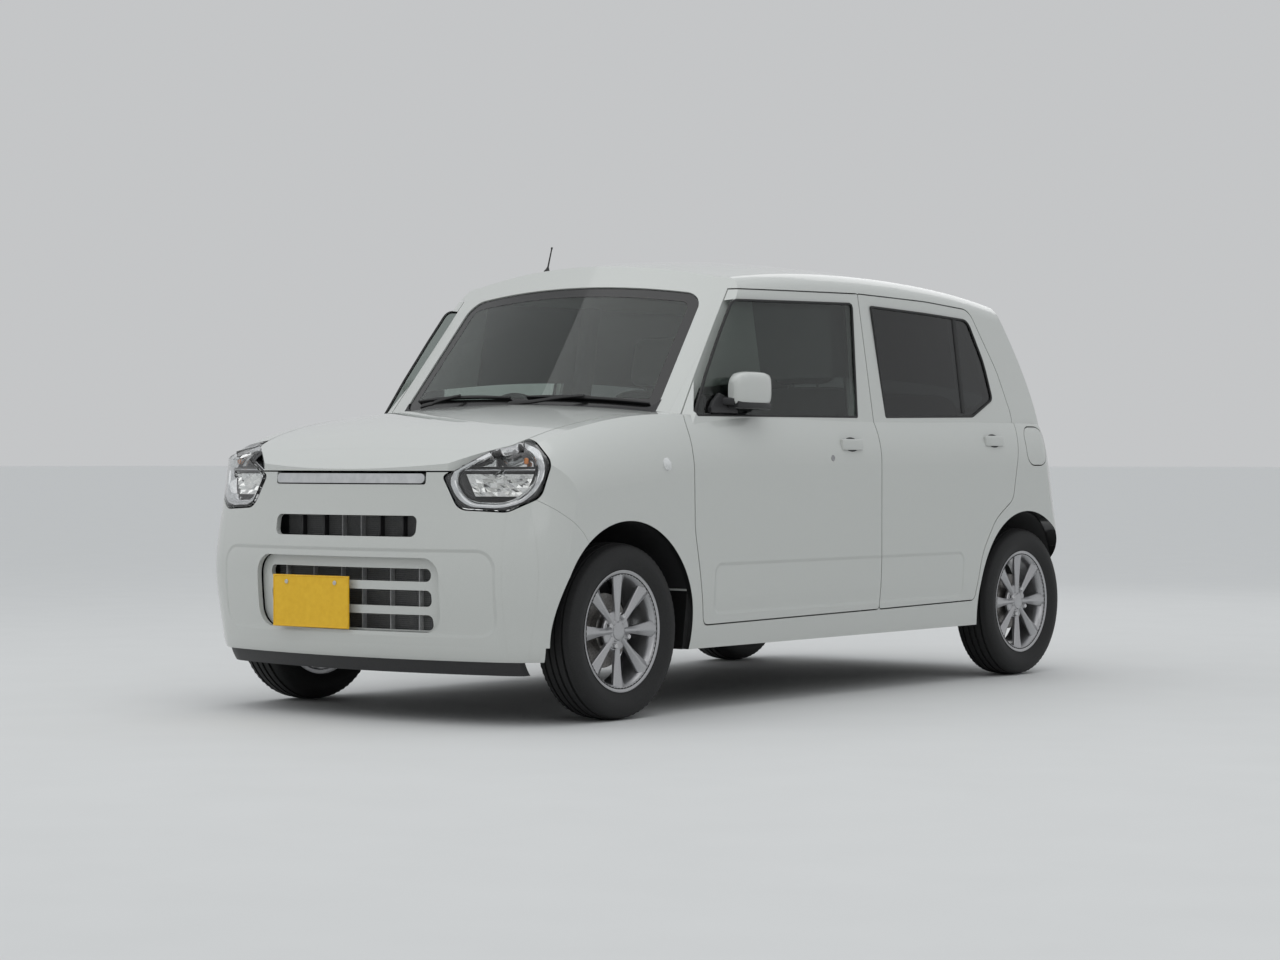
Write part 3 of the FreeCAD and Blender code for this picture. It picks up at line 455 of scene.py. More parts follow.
def tube(name, points, radius, material, closed=True):
    """A round bead along a line of points."""
    curve = bpy.data.curves.new(name, "CURVE")
    curve.dimensions = "3D"
    curve.bevel_depth = radius
    curve.bevel_resolution = 3
    spline = curve.splines.new("POLY")
    spline.points.add(len(points) - 1)
    for i, point in enumerate(points):
        spline.points[i].co = (*point, 1.0)
    spline.use_cyclic_u = closed
    curve.materials.append(material)
    piece = bpy.data.objects.new(name, curve)
    bpy.context.scene.collection.objects.link(piece)
    return piece


clear_of_side, clear_behind = 950, 3050


def from_side(tree, side, y, z, lift=0.0):
    """Where the pieces' outer skin is on one side of the car, at y and z in millimetres."""
    return landing(tree, at(side * clear_of_side, y, z), Vector((-side, 0, 0)), lift)


sash_foot, sash_head, sash_lean = 988, 1336, 0.045
for word, side in sides:
    for door, door_body, outline in (
        ("front_door", "door_front_" + word, front_window), ("rear_door", "door_rear_" + word, rear_window),
    ):
        glass_face = target(f"{door}_glass_{word}")
        line = [from_side(glass_face, side, p.x, p.y, 0.002) for p in inset(traced(outline, 14.0), 3.0)]
        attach(tube(f"{door}_rubber_{word}", line, 0.0045, rubber), door_body)
    rear_face = target(f"rear_door_glass_{word}")
    heights = [sash_foot + (sash_head - sash_foot) * i / 12 for i in range(13)]
    sash_rings = [
        [from_side(rear_face, side, y + (z - sash_foot) * sash_lean, z, lift) for z in heights]
        for y, lift in ((2058, 0.001), (2062, 0.004), (2078, 0.004), (2082, 0.001))
    ]
    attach(strip("rear_sash_" + word, sash_rings, rubber, closed=False), "door_rear_" + word)


# Headlamps
# A clear hard-coated lens over a black housing, with a wide bright ring round its edge, a dark bar across,
# two small cells with an orange bulb above the bar and a faceted bright reflector below it.

chrome = grained("chrome", (0.62, 0.63, 0.64), (0.72, 0.73, 0.74), 30.0, 0.06, metal=1.0)
reflector = grained("reflector", (0.70, 0.71, 0.70), (0.86, 0.86, 0.84), 40.0, 0.12, metal=1.0)
lamp_black = grained("lamp_black", (0.010, 0.010, 0.011), (0.022, 0.022, 0.024), 200.0, 0.3)
lens_clear = glass("lens_clear", (0.96, 0.97, 0.97))
amber = grained("amber", (0.80, 0.20, 0.02), (0.95, 0.33, 0.04), 120.0, 0.2, coat=0.6)
lamp_outline = (
    (-14, 763, 10), (192, 878, 30), (262, 874, 40), (314, 806, 40), (282, 702, 50), (180, 657, 70),
    (32, 664, 40),
)
lamp_soft_outline = (
    (-8, 766, 40), (192, 872, 100), (260, 868, 85), (308, 806, 90), (276, 706, 130), (180, 663, 200),
    (36, 669, 80),
)
lamp_heading = math.radians(40.3)
lamp_across = Vector((math.cos(lamp_heading), math.sin(lamp_heading), 0))
lamp_ahead = Vector((math.sin(lamp_heading), -math.cos(lamp_heading), 0))
lamp_face = target("headlamps")
lamp_middle = Vector((158, 768))


def spokes_to(outline, count=120):
    """The outline's distance from the lamp's middle in count even directions."""
    loop = traced(outline, 3.0)
    result = []
    for k in range(count):
        aim = Vector((math.cos(math.tau * k / count), math.sin(math.tau * k / count)))
        best = 0.0
        for i, here in enumerate(loop):
            a, b = loop[i - 1] - lamp_middle, here - lamp_middle
            side_a, side_b = aim.x * a.y - aim.y * a.x, aim.x * b.y - aim.y * b.x
            if side_a * side_b <= 0 and side_a != side_b:
                meet = a.lerp(b, side_a / (side_a - side_b))
                best = max(best, meet.dot(aim))
        result.append(aim * best)
    return result


lamp_crisp = spokes_to(lamp_outline)
lamp_soft = spokes_to(lamp_soft_outline)


def in_lamp(u, z, depth):
    """A point of the left lamp: u across its face and z up in millimetres, depth behind its outer skin."""
    pulled = lamp_middle + (Vector((u, z)) - lamp_middle) * 0.985
    start = at(0, 0, pulled.y) + lamp_across * pulled.x / 1000 + lamp_ahead * 0.9
    skin = landing(lamp_face, start, -lamp_ahead)
    offset = lamp_across * (u - pulled.x) / 1000 + Vector((0, 0, (z - pulled.y) / 1000))
    return skin + offset - lamp_ahead * depth / 1000


def mirror_of(piece, name):
    """The same piece on the car's other side."""
    mesh = piece.data.copy()
    mesh.transform(Matrix.Scale(-1, 4, (1, 0, 0)))
    mesh.flip_normals()
    other = bpy.data.objects.new(name, mesh)
    for modifier in piece.modifiers:
        copy = other.modifiers.new(modifier.name, modifier.type)
        if modifier.type == "SOLIDIFY":
            copy.thickness, copy.offset = modifier.thickness, modifier.offset
        if modifier.type == "BEVEL":
            copy.width, copy.segments = modifier.width, modifier.segments
    bpy.context.scene.collection.objects.link(other)
    return other


def lamp_rings(rows):
    """Rings of the lamp's outline: how soft its corners are, its scale about the middle, and its depth."""
    rings = []
    for softness, scale, depth in rows:
        ring = []
        for crisp, soft in zip(lamp_crisp, lamp_soft):
            q = lamp_middle + crisp.lerp(soft, softness) * scale
            ring.append(in_lamp(q.x, q.y, depth))
        rings.append(ring)
    return rings


def faceted(name, corners, columns, rows, depth, swing, material):
    """A bright reflector of small flat facets between four (u, z) corners."""
    points, faces = [], []
    for r in range(rows + 1):
        for c in range(columns + 1):
            s, t = c / columns, r / rows
            top = Vector(corners[0]).lerp(Vector(corners[1]), s)
            low = Vector(corners[3]).lerp(Vector(corners[2]), s)
            spot = top.lerp(low, t)
            edge = min(s, 1 - s, t, 1 - t)
            sink = depth + (swing * (0.5 + 0.5 * math.sin(c * 2.3 + r * 1.7)) if edge > 0 else 0.0)
            points.append(in_lamp(spot.x, spot.y, sink))
    for r in range(rows):
        for c in range(columns):
            a = r * (columns + 1) + c
            faces += [(a, a + 1, a + columns + 2), (a, a + columns + 2, a + columns + 1)]
    return shaped(name, points, faces, material, crease=3)


def block(name, corners, front, back, material, edge=0.0012):
    """A bar in the lamp: (u, z) corners, with its front and back at two depths."""
    count = len(corners)
    points = [in_lamp(u, z, front) for u, z in corners] + [in_lamp(u, z, back) for u, z in corners]
    faces = [tuple(range(count)), tuple(range(2 * count - 1, count - 1, -1))]
    faces += [(i, i + count, (i + 1) % count + count, (i + 1) % count) for i in range(count)]
    piece = shaped(name, points, faces, material)
    softened(piece, edge)
    return piece


lens_rings = lamp_rings([(0, scale, 0.4) for scale in (0.995, 0.9, 0.75, 0.6, 0.45, 0.3, 0.15, 0.03)])
lens = strip("headlamp_lens_left", lens_rings, lens_clear)
sheet(lens, 0.0025, -1.0)
gasket_rows = ((0, 0.993, 12), (0, 0.992, 4), (0.5, 0.985, 3.4), (1, 0.985, 4), (1, 0.975, 9))
gasket = strip("headlamp_gasket_left", lamp_rings(gasket_rows), lamp_black)
ring_rows = (
    (1, 0.985, 16), (1, 0.980, 6.5), (1, 0.972, 4.8), (1, 0.955, 4.4), (1, 0.92, 5.4), (1, 0.88, 8.5),
    (1, 0.84, 14), (1, 0.815, 21), (1, 0.80, 30), (1, 0.79, 36),
)
bezel = strip("headlamp_ring_left", lamp_rings(ring_rows), chrome)
housing_rows = ((1, 0.80, 30), (1, 0.78, 46), (1, 0.6, 64), (1, 0.4, 68), (1, 0.2, 70), (1, 0.03, 70))
housing = strip("headlamp_housing_left", lamp_rings(housing_rows), lamp_black)
bar = block("headlamp_bar_left", ((44, 777), (262, 777), (268, 788), (44, 788)), 22, 44, lamp_black)
bar_line = block("headlamp_bar_line_left", ((40, 781), (266, 782), (266, 785), (40, 784)), 20, 26, chrome)
cell_corners = ((66, 806), (130, 828), (258, 830), (262, 792), (52, 792))
cell_back = block("headlamp_cell_left", cell_corners, 44, 58, reflector)
wall_corners = ((148, 792), (153, 792), (153, 829), (148, 829))
cell_wall = block("headlamp_cell_wall_left", wall_corners, 26, 48, lamp_black)
bulb = block("headlamp_bulb_left", ((232, 800), (246, 800), (246, 820), (232, 820)), 30, 44, amber, 0.005)
bowl = faceted("headlamp_bowl_left", ((56, 770), (262, 770), (236, 702), (84, 702)), 9, 5, 40, 16, reflector)
lamp_pieces = [lens, gasket, bezel, housing, bar, bar_line, cell_back, cell_wall, bulb, bowl]
lamp_pieces += [mirror_of(piece, piece.name.replace("_left", "_right")) for piece in lamp_pieces]
for piece in lamp_pieces:
    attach(piece, "body")
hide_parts("headlamps")


# Tail lamps
# Red moulded acrylic lenses, each welded to a closed housing.
# They are screwed into the rear corners beside the tailgate.

tail_red = grained("tail_red", (0.34, 0.006, 0.008), (0.55, 0.012, 0.014), 80.0, 0.12, relief=0.1, coat=1.0)
finish(tail_red, "tail_lamps")


# Grille
# Black slatted ducts behind the painted nose, with thin upright ribs in front of the radiator's fins.
# One wide bright strip is clipped under the hood's edge.

finish(chrome, "bright_bar")
fin_metal = grained("fin_metal", (0.16, 0.16, 0.16), (0.24, 0.24, 0.235), 260.0, 0.5, relief=0.2)
rib_grey = grained("rib_grey", (0.30, 0.30, 0.30), (0.40, 0.40, 0.395), 200.0, 0.45, relief=0.1)
finish(fin_metal, "radiator")


def bars(name, boxes, material, edge=0.0008):
    """Rectangular bars, each given by its lowest and highest corner."""
    points, faces = [], []
    for low, high in boxes:
        n = len(points)
        points += [(x, y, z) for z in (low.z, high.z) for y in (low.y, high.y) for x in (low.x, high.x)]
        faces += [(n, n + 2, n + 3, n + 1), (n + 4, n + 5, n + 7, n + 6), (n, n + 1, n + 5, n + 4)]
        faces += [(n + 2, n + 6, n + 7, n + 3), (n, n + 4, n + 6, n + 2), (n + 1, n + 3, n + 7, n + 5)]
    piece = shaped(name, points, faces, material)
    if edge:
        softened(piece, edge)
    return piece


# y of the fins and of the ribs in front of them, front and back
rib_front, rib_back, fin_front, fin_back = -476, -456, -455, -447
fin_pitch, fin_thickness = 6.2, 2.2


def uprights(name, places, half, material):
    """Upright ribs of a duct, each given by its x and its lowest and highest z."""
    boxes = [(at(x - half, rib_front, low), at(x + half, rib_back, high)) for x, low, high in places]
    return bars(name, boxes, material)


fins = []
for low, high, reach in ((289, 479, 336), (577, 644, 296)):
    z = low + 2.0
    while z < high:
        fins.append((at(-reach, fin_front, z), at(reach, fin_back, z + fin_thickness)))
        z += fin_pitch
upper_duct, lower_duct = (573, 648), (285, 483)
dark_places = [(x, *upper_duct) for x in (-216, -120, 120, 216)]
pale_places = [(x, *upper_duct) for x in (40, -40)]
pale_places += [(x, *lower_duct) for x in (-285, -165, -45, 45, 165, 285)]
fin_stack = bars("grille_fins", fins, fin_metal, edge=0)
ribs = uprights("grille_ribs", dark_places, 3, black_plastic)
slats = uprights("grille_slats", pale_places, 2, rib_grey)
for piece in (fin_stack, ribs, slats):
    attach(piece, "body")
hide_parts("grille")


# Number plates
# Thin pressed aluminium, painted yellow and left blank, with a raised rim and two capped screws.
# The front one hangs from two brackets left of the middle, the rear one is screwed to pads on the tailgate.

plate_yellow = grained("plate_yellow", (0.80, 0.46, 0.010), (0.86, 0.52, 0.020), 60.0, 0.38, relief=0.05)
screw_steel = grained("screw_steel", (0.50, 0.50, 0.50), (0.66, 0.66, 0.65), 90.0, 0.3, metal=1.0)
finish(plate_yellow, "front_plate")
screw_reach = 0.105


def plate_trim(name, low, high, face_y, outward, body):
    """The raised rim and the screws of one plate."""
    margin = 0.003
    low_x, high_x, low_z, high_z = low.x + margin, high.x - margin, low.z + margin, high.z - margin
    corners = [(low_x, low_z), (low_x, high_z), (high_x, high_z), (high_x, low_z)]
    loop = traced([(a * 1000, b * 1000, 9) for a, b in corners], 4.0)
    line = [Vector((p.x / 1000, face_y, p.y / 1000)) for p in loop]
    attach(tube(name + "_rim", line, 0.0016, plate_yellow), body)
    middle, top = (low.x + high.x) / 2, high.z - 0.022
    turns = [math.tau * k / 20 for k in range(20)]
    cap_rows = ((0.0075, 0.0), (0.0072, 0.002), (0.0058, 0.0034), (0.0035, 0.0038), (0.0004, 0.0038))
    for k, dx in enumerate((-screw_reach, screw_reach)):
        rings = []
        for r, lift in cap_rows:
            y = face_y + outward * lift
            rings.append([Vector((middle + dx + r * math.cos(t), y, top + r * math.sin(t))) for t in turns])
        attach(strip(f"{name}_screw_{k + 1}", rings, screw_steel), body)


plate_low, plate_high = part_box("front_plate")
plate_trim("front_plate", plate_low, plate_high, plate_low.y, -1, "body")
tail_skin = target("tailgate")
backwards = Vector((0, 1, 0))


def from_behind(tree, x, z, lift=0.0):
    """Where the pieces' rear skin is, at x and z in millimetres."""
    return landing(tree, at(x, clear_behind, z), -backwards, lift)


plate_half, plate_foot, plate_head = 165, 659.5, 824.5
rear_y = max(from_behind(tail_skin, x, z).y for x in (-165, 0, 165) for z in (660, 742, 824)) + 0.004
rear_low = Vector((-plate_half / 1000, rear_y, plate_foot / 1000))
rear_high = Vector((plate_half / 1000, rear_y + 0.0012, plate_head / 1000))
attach(bars("rear_plate", [(rear_low, rear_high)], plate_yellow, edge=0.0004), "tailgate")
plate_trim("rear_plate", rear_low, rear_high, rear_high.y, 1, "tailgate")
pad_boxes = []
for x in (-screw_reach * 1000, screw_reach * 1000):
    foot = from_behind(tail_skin, x, 802, -0.002)
    pad_boxes.append((foot - Vector((0.012, 0, 0.010)), Vector((foot.x + 0.012, rear_y, foot.z + 0.010))))
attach(bars("rear_plate_pads", pad_boxes, black_plastic), "tailgate")


# Tyres
# Radial rubber tyres with four running grooves, cross cuts on the shoulders and a rim guard on the wall.
# Each is seated on its wheel's beads and turns with it.

tyre_rubber = grained("tyre_rubber", (0.007, 0.007, 0.0075), (0.014, 0.014, 0.014), 220.0, 0.7, relief=0.25)
# distance from the tyre's middle and radius, from the bead over the wall to the middle of the tread
half_profile = (
    (59.5, 179), (60.5, 194), (66, 202), (72, 214), (76.3, 228), (76.5, 238), (74.5, 250), (71, 260),
    (66, 267.5), (60, 271.5), (48, 274.3), (44, 275), (43.6, 268), (35.4, 268), (35, 276.2), (16.5, 277.6),
    (16, 270.5), (8, 270.5), (7.5, 278.0),
)
tyre_profile = [(-a, r) for a, r in half_profile] + list(reversed(half_profile))
wheelbase = 2460.0
axle_up = axle_height * 1000
wheel_places = (
    ("front_left", 647.5, 0.0), ("front_right", -647.5, 0.0),
    ("rear_left", 650.0, wheelbase), ("rear_right", -650.0, wheelbase),
)
tread_turns = 144
shoulder_cut = 2.6
for word, x, y in wheel_places:
    rings = []
    for a, r in tyre_profile:
        ring = []
        for i in range(tread_turns):
            angle = math.tau * i / tread_turns
            shoulder = 48 <= abs(a) <= 66 and i % 2 == 0
            radius = r - (shoulder_cut if shoulder else 0.0)
            ring.append(at(x + a, y + radius * math.sin(angle), axle_up + radius * math.cos(angle)))
        rings.append(ring)
    tyre = strip("tyre_" + word + "_rubber", rings, tyre_rubber)
    tyre.data.flip_normals()
    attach(tyre, "wheel_" + word)
    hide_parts("tyre_" + word)


# Wheels
# Cast and painted alloy: eight tapering spokes with a raised spine, and four nuts round a plain cap.
# The brake disc or drum turns behind the spokes.

silver_dark, silver_light = (0.40, 0.40, 0.41), (0.50, 0.50, 0.51)
wheel_silver = grained("wheel_silver", silver_dark, silver_light, 500.0, 0.28, metal=0.85, coat=0.6)
brake_iron = grained("brake_iron", (0.20, 0.19, 0.18), (0.34, 0.33, 0.32), 150.0, 0.42, metal=0.9)
nut_steel = grained("nut_steel", (0.55, 0.55, 0.56), (0.68, 0.68, 0.68), 90.0, 0.2, metal=1.0)
barrel_profile = (
    (-63, 188), (-63, 191), (-60.5, 191), (-60, 178), (-48, 172), (-30, 165), (20, 165), (40, 169), (56, 176),
    (60, 189), (62.5, 191.5), (63.5, 189), (61, 183), (54, 174.5), (40, 166.5), (20, 162.5), (-30, 162.5),
    (-48, 168), (-63, 174),
)
cap_profile = (
    (26, 64), (34, 64), (38, 61), (39.5, 54), (39.5, 36), (44, 33), (45, 29), (48, 27.5), (50, 22),
    (50.5, 12), (50.6, 0.5),
)
disc_profile = (
    (-26, 60), (-26, 117), (-24, 118), (-16, 118), (-14, 117), (-14, 70), (8, 68), (12, 60), (12, 20),
)
drum_profile = ((-33, 40), (-33, 100), (-30, 104), (4, 104), (8, 101), (10, 90), (10, 20))
nut_profile = ((38, 10.5), (41, 10.5), (42.5, 9.2), (51, 9.0), (53.5, 7.0), (54, 0.4))
# radius, half width at the foot, half width at the spine, back, shoulder and spine distances outwards
spoke_rows = (
    (30, 10, 3.0, 26, 39, 47), (60, 11, 3.0, 27, 40, 49), (90, 14, 3.0, 29, 41, 51),
    (120, 18.5, 3.2, 32, 42, 53), (150, 23, 3.5, 35, 44, 55), (170, 27, 4.0, 39, 47, 57),
    (181, 30, 4.5, 44, 52, 59),
)
spoke_count, nut_count, nut_circle = 8, 4, 50


def turned(name, profile, x, y, side, material, steps=96, up=axle_up):
    """A piece turned about a line along x from (distance outwards, radius) points."""
    angles = [math.tau * i / steps for i in range(steps)]
    rings = [
        [at(x + side * a, y + r * math.sin(t), up + r * math.cos(t)) for t in angles] for a, r in profile
    ]
    piece = strip(name, rings, material)
    if side > 0:
        piece.data.flip_normals()
    return piece


for word, x, y in wheel_places:
    side = 1 if x > 0 else -1
    body = "wheel_" + word
    barrel = turned("rim_barrel_" + word, barrel_profile, x, y, side, wheel_silver)
    hub = turned("rim_hub_" + word, cap_profile, x, y, side, wheel_silver, 64)
    points, faces = [], []
    for s in range(spoke_count):
        turn = math.tau * s / spoke_count
        start = len(points)
        for radius, foot, spine, back, shoulder, top in spoke_rows:
            section = (
                (-foot, back), (-foot, shoulder), (-spine, top), (spine, top), (foot, shoulder), (foot, back),
            )
            for across, out in section:
                py = radius * math.sin(turn) + across * math.cos(turn)
                pz = radius * math.cos(turn) - across * math.sin(turn)
                points.append(at(x + side * out, y + py, axle_up + pz))
        for r in range(len(spoke_rows) - 1):
            for k in range(6):
                a, b = start + r * 6 + k, start + r * 6 + (k + 1) % 6
                faces.append((a, b, b + 6, a + 6) if side > 0 else (a, a + 6, b + 6, b))
        last = start + 6 * (len(spoke_rows) - 1)
        faces.append(tuple(range(last + 5, last - 1, -1)) if side < 0 else tuple(range(last, last + 6)))
    spokes = shaped("rim_spokes_" + word, points, faces, wheel_silver)
    rounding = softened(spokes, 0.0025, 3)
    rounding.limit_method = "ANGLE"
    rounding.angle_limit = math.radians(25)
    for piece in (barrel, hub, spokes):
        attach(piece, body)
    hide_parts("rim_" + word)
    brake_profile = disc_profile if word.startswith("front") else drum_profile
    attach(turned("brake_" + word, brake_profile, x, y, side, brake_iron, 72), body)
    for k in range(nut_count):
        turn = math.tau * (k + 0.25) / nut_count
        cy, cz = y + nut_circle * math.sin(turn), axle_up + nut_circle * math.cos(turn)
        nut = turned(f"nut_{word}_{k + 1}", nut_profile, x, cy, side, nut_steel, 6, cz)
        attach(nut, body)


# Bumper lip
# The bumper's turned-in lower edge, moulded in one with it, above the black air dam.
# It follows the bumper's skin from one front arch round the nose to the other.

bumper_face = target("front_bumper")
# z and distance behind the bumper's skin
lip_rows = (
    (242.5, 0.4), (236, 1.0), (224, 3.6), (210, 7.6), (202, 10.6), (198, 13.6), (198, 17.0), (202, 19.0),
)
lip_middle = at(0, 60, 246)
lip_rings = [[] for _ in lip_rows]
arch_reach = 0.349
for k in range(121):
    angle = math.radians(-118 + 236 * k / 120)
    aim = Vector((math.sin(angle), -math.cos(angle), 0))
    skin = landing(bumper_face, lip_middle + aim * 1.4, -aim)
    if math.hypot(skin.y - front_axle_y, skin.z - axle_height) < arch_reach:
        continue
    for ring, (z, sink) in zip(lip_rings, lip_rows):
        ring.append(Vector((skin.x, skin.y, z / 1000)) - aim * sink / 1000)
lip = strip("bumper_lip", lip_rings, pearl_white, closed=False)
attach(lip, "body")


# Door mirrors
# Moulded shells in body colour over a black base, on a black foot in the corner of the front door's window.
# They stand folded back along the door.

def lofted(name, rings, material):
    """A closed piece through rings, each end drawn together to a point."""
    full = list(rings)
    for at_start in (True, False):
        ring = rings[0] if at_start else rings[-1]
        middle = sum(ring, Vector()) / len(ring)
        inner = [[middle + (q - middle) * f for q in ring] for f in (0.85, 0.5, 0.02)]
        full = inner[::-1] + full if at_start else full + inner
    return strip(name, full, material)


def rounded_ring(centre, across, up, half_across, half_up, power=3.2, count=36):
    """A ring with soft corners about a centre."""
    ring = []
    for k in range(count):
        c, s = math.cos(math.tau * k / count), math.sin(math.tau * k / count)
        a = math.copysign(abs(c) ** (2 / power), c) * half_across
        b = math.copysign(abs(s) ** (2 / power), s) * half_up
        ring.append(centre + across * a + up * b)
    return ring


sideways, upward = Vector((1, 0, 0)), Vector((0, 0, 1))
# y, middle x, half width, middle z, half height of the folded shell
mirror_rows = (
    (566, 718, 12, 1040, 30), (574, 722, 22, 1042, 44), (590, 725, 30, 1045, 54), (620, 727, 34, 1046, 59),
    (670, 727, 35, 1046, 60), (715, 727, 34, 1047, 58), (742, 726, 30, 1048, 53), (756, 724, 22, 1048, 45),
)
# y, lowest and highest z of the foot in the window's corner
foot_rows = (
    (486, 970, 986), (506, 968, 1010), (540, 968, 1034), (580, 968, 1020), (610, 968, 996), (628, 968, 980),
)
for word, side in sides:
    outwards = sideways * side
    shell, base = [], []
    for y, x, half, z, tall_half in mirror_rows:
        shell.append(rounded_ring(at(side * x, y, z), outwards, upward, half / 1000, tall_half / 1000))
        place = at(side * (x - 2), y, 994 + (1046 - z))
        base.append(rounded_ring(place, outwards, upward, (half + 1) / 1000, 0.012, 4.0))
    door_face = target("front_door_" + word, "front_door_glass_" + word)
    foot = []
    for y, low, high in foot_rows:
        middle = from_side(door_face, side, y, (low + high) / 2, 0.006)
        foot.append(rounded_ring(middle, outwards, upward, 0.008, (high - low) / 2000, 5.0))
    arm_start = from_side(door_face, side, 570, 1008, -0.004)
    arm_end = at(side * 730, 590, 1006)
    arm = []
    for t in (0, 0.3, 0.7, 1):
        arm.append(rounded_ring(arm_start.lerp(arm_end, t), backwards, upward, 0.026, 0.013, 4.0))
    face_middle = at(side * 692, 665, 1046)
    face = []
    for f in (1, 0.6, 0.2, 0.01):
        ring = rounded_ring(face_middle, backwards, upward, 0.074 * f, 0.047 * f)
        face.append([q - outwards * 0.0006 for q in ring])
    for piece in (
        lofted("mirror_shell_" + word, shell, pearl_white),
        lofted("mirror_base_" + word, base[1:-1], black_plastic),
        lofted("mirror_foot_" + word, foot, black_plastic),
        lofted("mirror_arm_" + word, arm, black_plastic),
        strip("mirror_glass_" + word, face, chrome),
    ):
        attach(piece, "door_front_" + word)


# Door handles and small body fittings
# Painted pull bars, each over a thin dark patch of painted shade for its hand recess, a steel lock barrel in
# each front door, a clear side lamp on each fender and a short rod antenna on the roof.

shadow_black = grained("shadow_black", (0.018, 0.018, 0.019), (0.030, 0.030, 0.031), 200.0, 0.6)
lock_steel = grained("lock_steel", (0.34, 0.34, 0.35), (0.44, 0.44, 0.45), 300.0, 0.35, metal=0.9)
side_clear = grained("side_clear", (0.62, 0.63, 0.62), (0.74, 0.75, 0.74), 160.0, 0.12, coat=1.0)
# size and lift of the rings of the patch of painted shade under each grip
recess_shade_rows = ((1.0, 0.0003), (0.93, 0.0008), (0.6, 0.0009), (0.02, 0.0009))
# distance along the grip, how far it stands out, half height
grip_rows = (
    (0, 3, 15), (3, 8, 17.5), (14, 12, 19), (40, 13.5, 19), (66, 13.5, 19), (96, 13, 19), (118, 12, 19),
    (127, 9, 17.5), (130, 3, 15),
)
# radius and how far it stands out
lock_rows = ((10, 0.0), (10, 1.6), (8.6, 2.6), (5.5, 2.4), (5.0, 1.4), (0.2, 1.4))
side_lamp_rows = ((21, 0.0), (20.6, 2.4), (17.5, 4.2), (13, 6.8), (8, 8.6), (3.5, 9.3), (0.2, 9.5))


def around(skin, side, y, z, half_y, half_z, count, lift):
    """An oval laid on one side's skin about y and z."""
    angles = [math.tau * k / count for k in range(count)]
    return [from_side(skin, side, y + half_y * math.cos(t), z + half_z * math.sin(t), lift) for t in angles]


for word, side in sides:
    for door, door_body, start, z in (
        ("front_door_", "door_front_", 1196, 868), ("rear_door_", "door_rear_", 2160, 886),
    ):
        skin = target(door + word)
        # The recess under each grip is not pressed in: a thin dark patch laid on the skin is painted shade.
        recess_shade_rings = [around(skin, side, start + 66, z, 46 * f, 25 * f, 48, lift) for f, lift in recess_shade_rows]
        recess_shade = strip(f"{door}cup_{word}", recess_shade_rings, shadow_black)
        grip_rings = []
        for along, proud, half in grip_rows:
            middle = from_side(skin, side, start + along, z, (proud - 4) / 1000)
            grip_rings.append(rounded_ring(middle, sideways * side, upward, 0.0045, half / 1000, 3.0, 28))
        grip = lofted(f"{door}grip_{word}", grip_rings, pearl_white)
        for piece in (recess_shade, grip):
            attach(piece, door_body + word)
    skin = target("front_door_" + word, "front_fender_" + word)
    for name, y, z, material, body, rows in (
        ("lock", 1138, 821, lock_steel, "door_front_" + word, lock_rows),
        ("side_lamp", 198, 801, side_clear, "body", side_lamp_rows),
    ):
        rings = [around(skin, side, y, z, radius, radius, 36, lift / 1000) for radius, lift in rows]
        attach(strip(f"{name}_{word}", rings, material), body)

roof_face = target("roof_panel")
antenna_foot = landing(roof_face, at(-300, 853, 1900), -upward)
antenna_lean = Vector((0, 0.30, 0.95)).normalized()
antenna_side = antenna_lean.cross(sideways)
antenna_rings = []
for along, half in (
    (-4, 13), (6, 12), (14, 7), (20, 4.5), (24, 3), (56, 2.6), (90, 2.3), (92, 3.4), (98, 3.4),
):
    middle = antenna_foot + antenna_lean * along / 1000
    antenna_rings.append(rounded_ring(middle, sideways, antenna_side, half / 1000, half / 1000, 2.0, 20))
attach(lofted("antenna", antenna_rings, rubber), "body")


# Tailgate pull
# A painted bar clipped to the tailgate's skin above the rear plate, with a dark strip of painted shade under
# it for the finger recess.
# Two small clear lamps under it light the plate.

pull_z, recess_z = 868, 846
# x and how slim the bar is there
pull_rows = (
    (-318, 0.45), (-312, 0.8), (-290, 1.0), (-150, 1.0), (0, 1.0), (150, 1.0), (290, 1.0), (312, 0.8),
    (318, 0.45),
)
pull_rings, tailgate_shade_rings = [], []
for x, slim in pull_rows:
    spot = from_behind(tail_skin, x, pull_z, 0.004)
    pull_rings.append(rounded_ring(spot, -backwards, upward, 0.011 * slim, 0.017 * slim, 3.0, 28))
    # A thin dark strip laid on the skin under the bar is painted shade for the finger recess.
    spot = from_behind(tail_skin, x * 0.94, recess_z, 0.0004)
    tailgate_shade_rings.append(rounded_ring(spot, -backwards, upward, 0.002, 0.010 * slim, 3.0, 20))
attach(lofted("tailgate_pull", pull_rings, pearl_white), "tailgate")
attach(lofted("tailgate_recess_shade", tailgate_shade_rings, shadow_black), "tailgate")
for word, side in sides:
    spot = from_behind(tail_skin, side * 150, recess_z, 0.004)
    ends = [spot - sideways * 0.018, spot + sideways * 0.018]
    lamp_ends = [rounded_ring(end, -backwards, upward, 0.004, 0.006, 4.0, 20) for end in ends]
    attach(lofted("plate_lamp_" + word, lamp_ends, side_clear), "tailgate")


# Centre pillars
# Pressed steel posts between the doors, welded to the sill and the roof rail, under moulded grey trim.
# Each leans inwards with the windows.

pillar_trim = grained("pillar_trim", (0.060, 0.060, 0.062), (0.085, 0.085, 0.088), 420.0, 0.6, relief=0.3)
